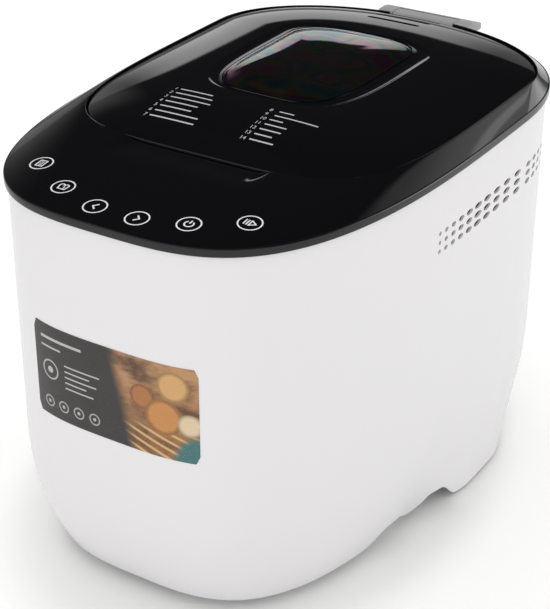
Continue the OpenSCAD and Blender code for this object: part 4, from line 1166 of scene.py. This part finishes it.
@dataclass
class Studio:
    """Pale floor, white backdrop, soft lamps and the camera.

    A fade is two edges of a height or a turn and, where they aren't 0 and 1, the levels there.
    Height is the sine of the ray's elevation; the turn is its angle from +Y towards -X in degrees.
    """

    camera_at: tuple = (0.469475, -0.769019, 0.604570)
    yaw: float = 0.5588154
    pitch: float = 0.5037894
    roll: float = 0.0013682
    sensor: float = 36.0
    focal_px: float = 1644.235
    centre_px: tuple = (274.659, 305.231)
    size_px: tuple = (550, 609)
    ambient: float = 0.90
    ceiling: float = 0.022
    backdrop_top: tuple = (0.245, 0.215)
    backdrop_left: tuple = (38.5, 46.0, 0.95, 0.16)
    backdrop_right: tuple = (16.0, 28.0, 0.22, 0.95)
    lamp_foot: tuple = (0.36, 0.34, 0.0, 2.0)
    bar: tuple = ((0.35, 0.36, 0.0, 0.8), (0.44, 0.40))
    lamp_head: tuple = ((0.43, 0.455, 1.6, 0.82), (0.455, 0.70, 1.0, 0.5), (0.395, 0.415), (0.80, 0.70))
    lamp_sides: tuple = ((-2.0, -14.0), (-80.0, -60.0))
    glow_side: tuple = (42.0, 52.0)
    glow_fall: tuple = (0.56, 0.24, 0.03, 0.25)
    front_edge: tuple = (-0.2, -0.45, 0.0, 0.75)
    front_band: tuple = ((0.25, 0.4), (0.9, 0.75))
    # glow of the floor for the camera: none inside the oval round the feet, which leaves a painted shadow
    # there
    floor_glow_past_painted_shadow: tuple = (1.0, 1.32, 0.0, 0.16)
    # the floor goes dark on the left for gloss alone: a painted dark reflection
    floor_painted_dark_reflection: tuple = (-0.35, -1.3, 0.0, 0.8)
    lamps: tuple = (  # name, place, aim, size, watts, mirrored
        ("key", (-1.3, 0.5, 1.9), (0, 0, 0.1), 1.6, 6.0, False),
        ("fill", (0.4, -2.2, 1.2), (0, 0, 0.15), 1.6, 7.0, False),
        ("edge", (1.3, 1.1, 0.35), (0, 0, 0.22), 0.7, 3.2, True),
    )

    def camera(self) -> None:
        """Camera from its measured station: the long side of the frame spans the sensor."""
        data = bpy.data.cameras.new("camera")
        width, height = self.size_px
        data.sensor_width = self.sensor
        data.lens = self.focal_px * self.sensor / height
        data.shift_x = (width / 2 - self.centre_px[0]) / height
        data.shift_y = (self.centre_px[1] - height / 2) / height
        data.clip_start = 0.01
        level = math.cos(self.pitch)
        ahead = Vector((-math.sin(self.yaw) * level, math.cos(self.yaw) * level, -math.sin(self.pitch)))
        right = Vector((math.cos(self.yaw), math.sin(self.yaw), 0.0))
        turned = Matrix((right, right.cross(ahead), -ahead)).transposed() @ Matrix.Rotation(self.roll, 3, "Z")
        obj = added("camera", data)
        obj.matrix_world = Matrix.Translation(self.camera_at) @ turned.to_4x4()
        bpy.context.scene.camera = obj

    def mirrored(self, sky: NodeBench, way: Sequence[Socket]) -> Socket:
        """What gloss shows: a studio of brightness alone.

        A white backdrop fades upwards and to both sides under a dark ceiling. A lamp stands on the
        right with a dull bar across it, there is a faint glow on the left and a soft lamp in front.
        """
        height = way[2]
        turn = sky.math("ARCTAN2", sky.product(way[0], -1.0), way[1])
        turn = sky.product(turn, 180.0 / math.pi)

        def fades(value: Socket, *limits: tuple) -> list[Socket]:
            """One fade for each set of limits."""
            return [sky.span(value, *edges) for edges in limits]

        across = sky.chain("MINIMUM", *fades(turn, self.backdrop_left, self.backdrop_right))
        backdrop = sky.product(*fades(height, self.backdrop_top), across)
        bands = sky.product(*fades(height, *self.bar)), sky.product(*fades(height, *self.lamp_head))
        lit = sky.highest(*fades(height, self.lamp_foot), *bands)
        lamp = sky.product(lit, *fades(turn, *self.lamp_sides))
        glow = sky.product(*fades(turn, self.glow_side), *fades(height, self.glow_fall))
        front = sky.product(*fades(way[1], self.front_edge), *fades(height, *self.front_band))
        return sky.chain("ADD", lamp, glow, front, backdrop)

    def world(self) -> None:
        """White behind the object for the camera, an even soft level for matt surfaces, a studio for gloss.

        Light that turns back behind a clear pane stays dark.
        """
        world = bpy.data.worlds.new("studio")
        bpy.context.scene.world = world
        world.use_nodes = True
        sky = NodeBench(world.node_tree)
        way = sky.node("SeparateXYZ", {0: sky.node("TexCoord").outputs["Generated"]}).outputs
        path = sky.node("LightPath").outputs
        behind = path["Transmission Depth"]
        turned = sky.math("GREATER_THAN", sky.math("SUBTRACT", path["Ray Depth"], behind), 0.5)
        inner = sky.product(sky.math("GREATER_THAN", behind, 0.5), turned)
        studio = sky.product(self.mirrored(sky, way), sky.math("SUBTRACT", 1.0, inner))
        clear = sky.highest(path["Is Glossy Ray"], path["Is Transmission Ray"])
        soft = sky.node("Mix", {0: clear, 2: self.ambient, 3: sky.highest(studio, self.ceiling)})
        seen = sky.node("Mix", {0: path["Is Camera Ray"], 2: soft.outputs[0], 3: 1.0})
        back = sky.node("Background", {"Color": (1.0, 1.0, 1.0), "Strength": seen.outputs[0]})
        sky.node("OutputWorld", {"Surface": back.outputs[0]})

    def floor(self) -> None:
        """Pale floor: a grey-green white that keeps the shadow.

        For the camera it glows a little, but only outside an oval round the feet, which leaves a painted
        shadow round the feet over the real one; for gloss it is painted dark on the left, a painted dark
        reflection.
        """
        corners = np.array([[-1, -1, 0], [1, -1, 0], [1, 1, 0], [-1, 1, 0]]) * 6.0 / MM
        mesh = make_mesh("floor", corners - [0, 0, 0.2], [np.array([[0, 1, 2, 3]])])
        obj = added("floor", mesh)
        sheet = NodeSheet("floor paper")
        seen = sheet.node("LightPath").outputs
        # distance in an oval round the feet; the floor glows only past it, so the floor inside is a painted
        # shadow
        oval = sheet.stretched((8.4, 6.06, 0.0))
        away = sheet.node("VectorMath", {0: oval, 1: (0.0, 0.18, 0.0)}, operation="ADD").outputs[0]
        away = sheet.node("VectorMath", {0: away}, operation="LENGTH").outputs["Value"]
        sideways = sheet.node("SeparateXYZ", {0: sheet.place}).outputs[0]
        # painted dark reflection: the floor turns black on the left only where glossy rays see it
        dark_reflection = sheet.product(sheet.span(sideways, *self.floor_painted_dark_reflection), seen["Is Glossy Ray"])
        paper = sheet.tint(sheet.noise(3.0), (0.88, 0.88, 0.87), (0.90, 0.90, 0.89))
        sheet.set(
            Base_Color=sheet.tint(dark_reflection, paper, (0.0, 0.0, 0.0)),
            Roughness=0.9,
            Specular_IOR_Level=0.0,
            Emission_Color=(1.0, 1.0, 1.0),
            Emission_Strength=sheet.product(seen["Is Camera Ray"], sheet.span(away, *self.floor_glow_past_painted_shadow)),
        )
        mesh.materials.append(sheet.material)

    def lamp(self, name: str, at: Numbers, aim: Numbers, size: float, power: float, mirrored: bool) -> None:
        """Square soft lamp, in metres and watts; mirrored if gloss and clear panes show it."""
        data = bpy.data.lights.new(name, "AREA")
        data.shape, data.size, data.energy = "SQUARE", size, power
        obj = added(name, data)
        obj.location = at
        obj.rotation_euler = (Vector(aim) - Vector(at)).to_track_quat("-Z", "Y").to_euler()
        obj.visible_glossy = obj.visible_transmission = mirrored
        obj.visible_camera = False

    def build(self) -> None:
        """Sets the whole studio."""
        self.camera()
        self.world()
        self.floor()
        for lamp in self.lamps:
            self.lamp(*lamp)
        bpy.context.scene.view_settings.view_transform = "Standard"


def main() -> None:
    """Builds every sub-assembly in order and gives the CAD nodes that keep their shape their finishes."""
    logging.basicConfig(level=logging.INFO, format="%(name)s: %(message)s")
    for assembly in (Studio(), Housing(), FrontLabel(), TopFrame(), Lid()):
        assembly.build()
    for finish, nodes in CAD_FINISHES.items():
        for node in nodes.split():
            dress_node(node, finish)


if __name__ == "__main__":
    main()
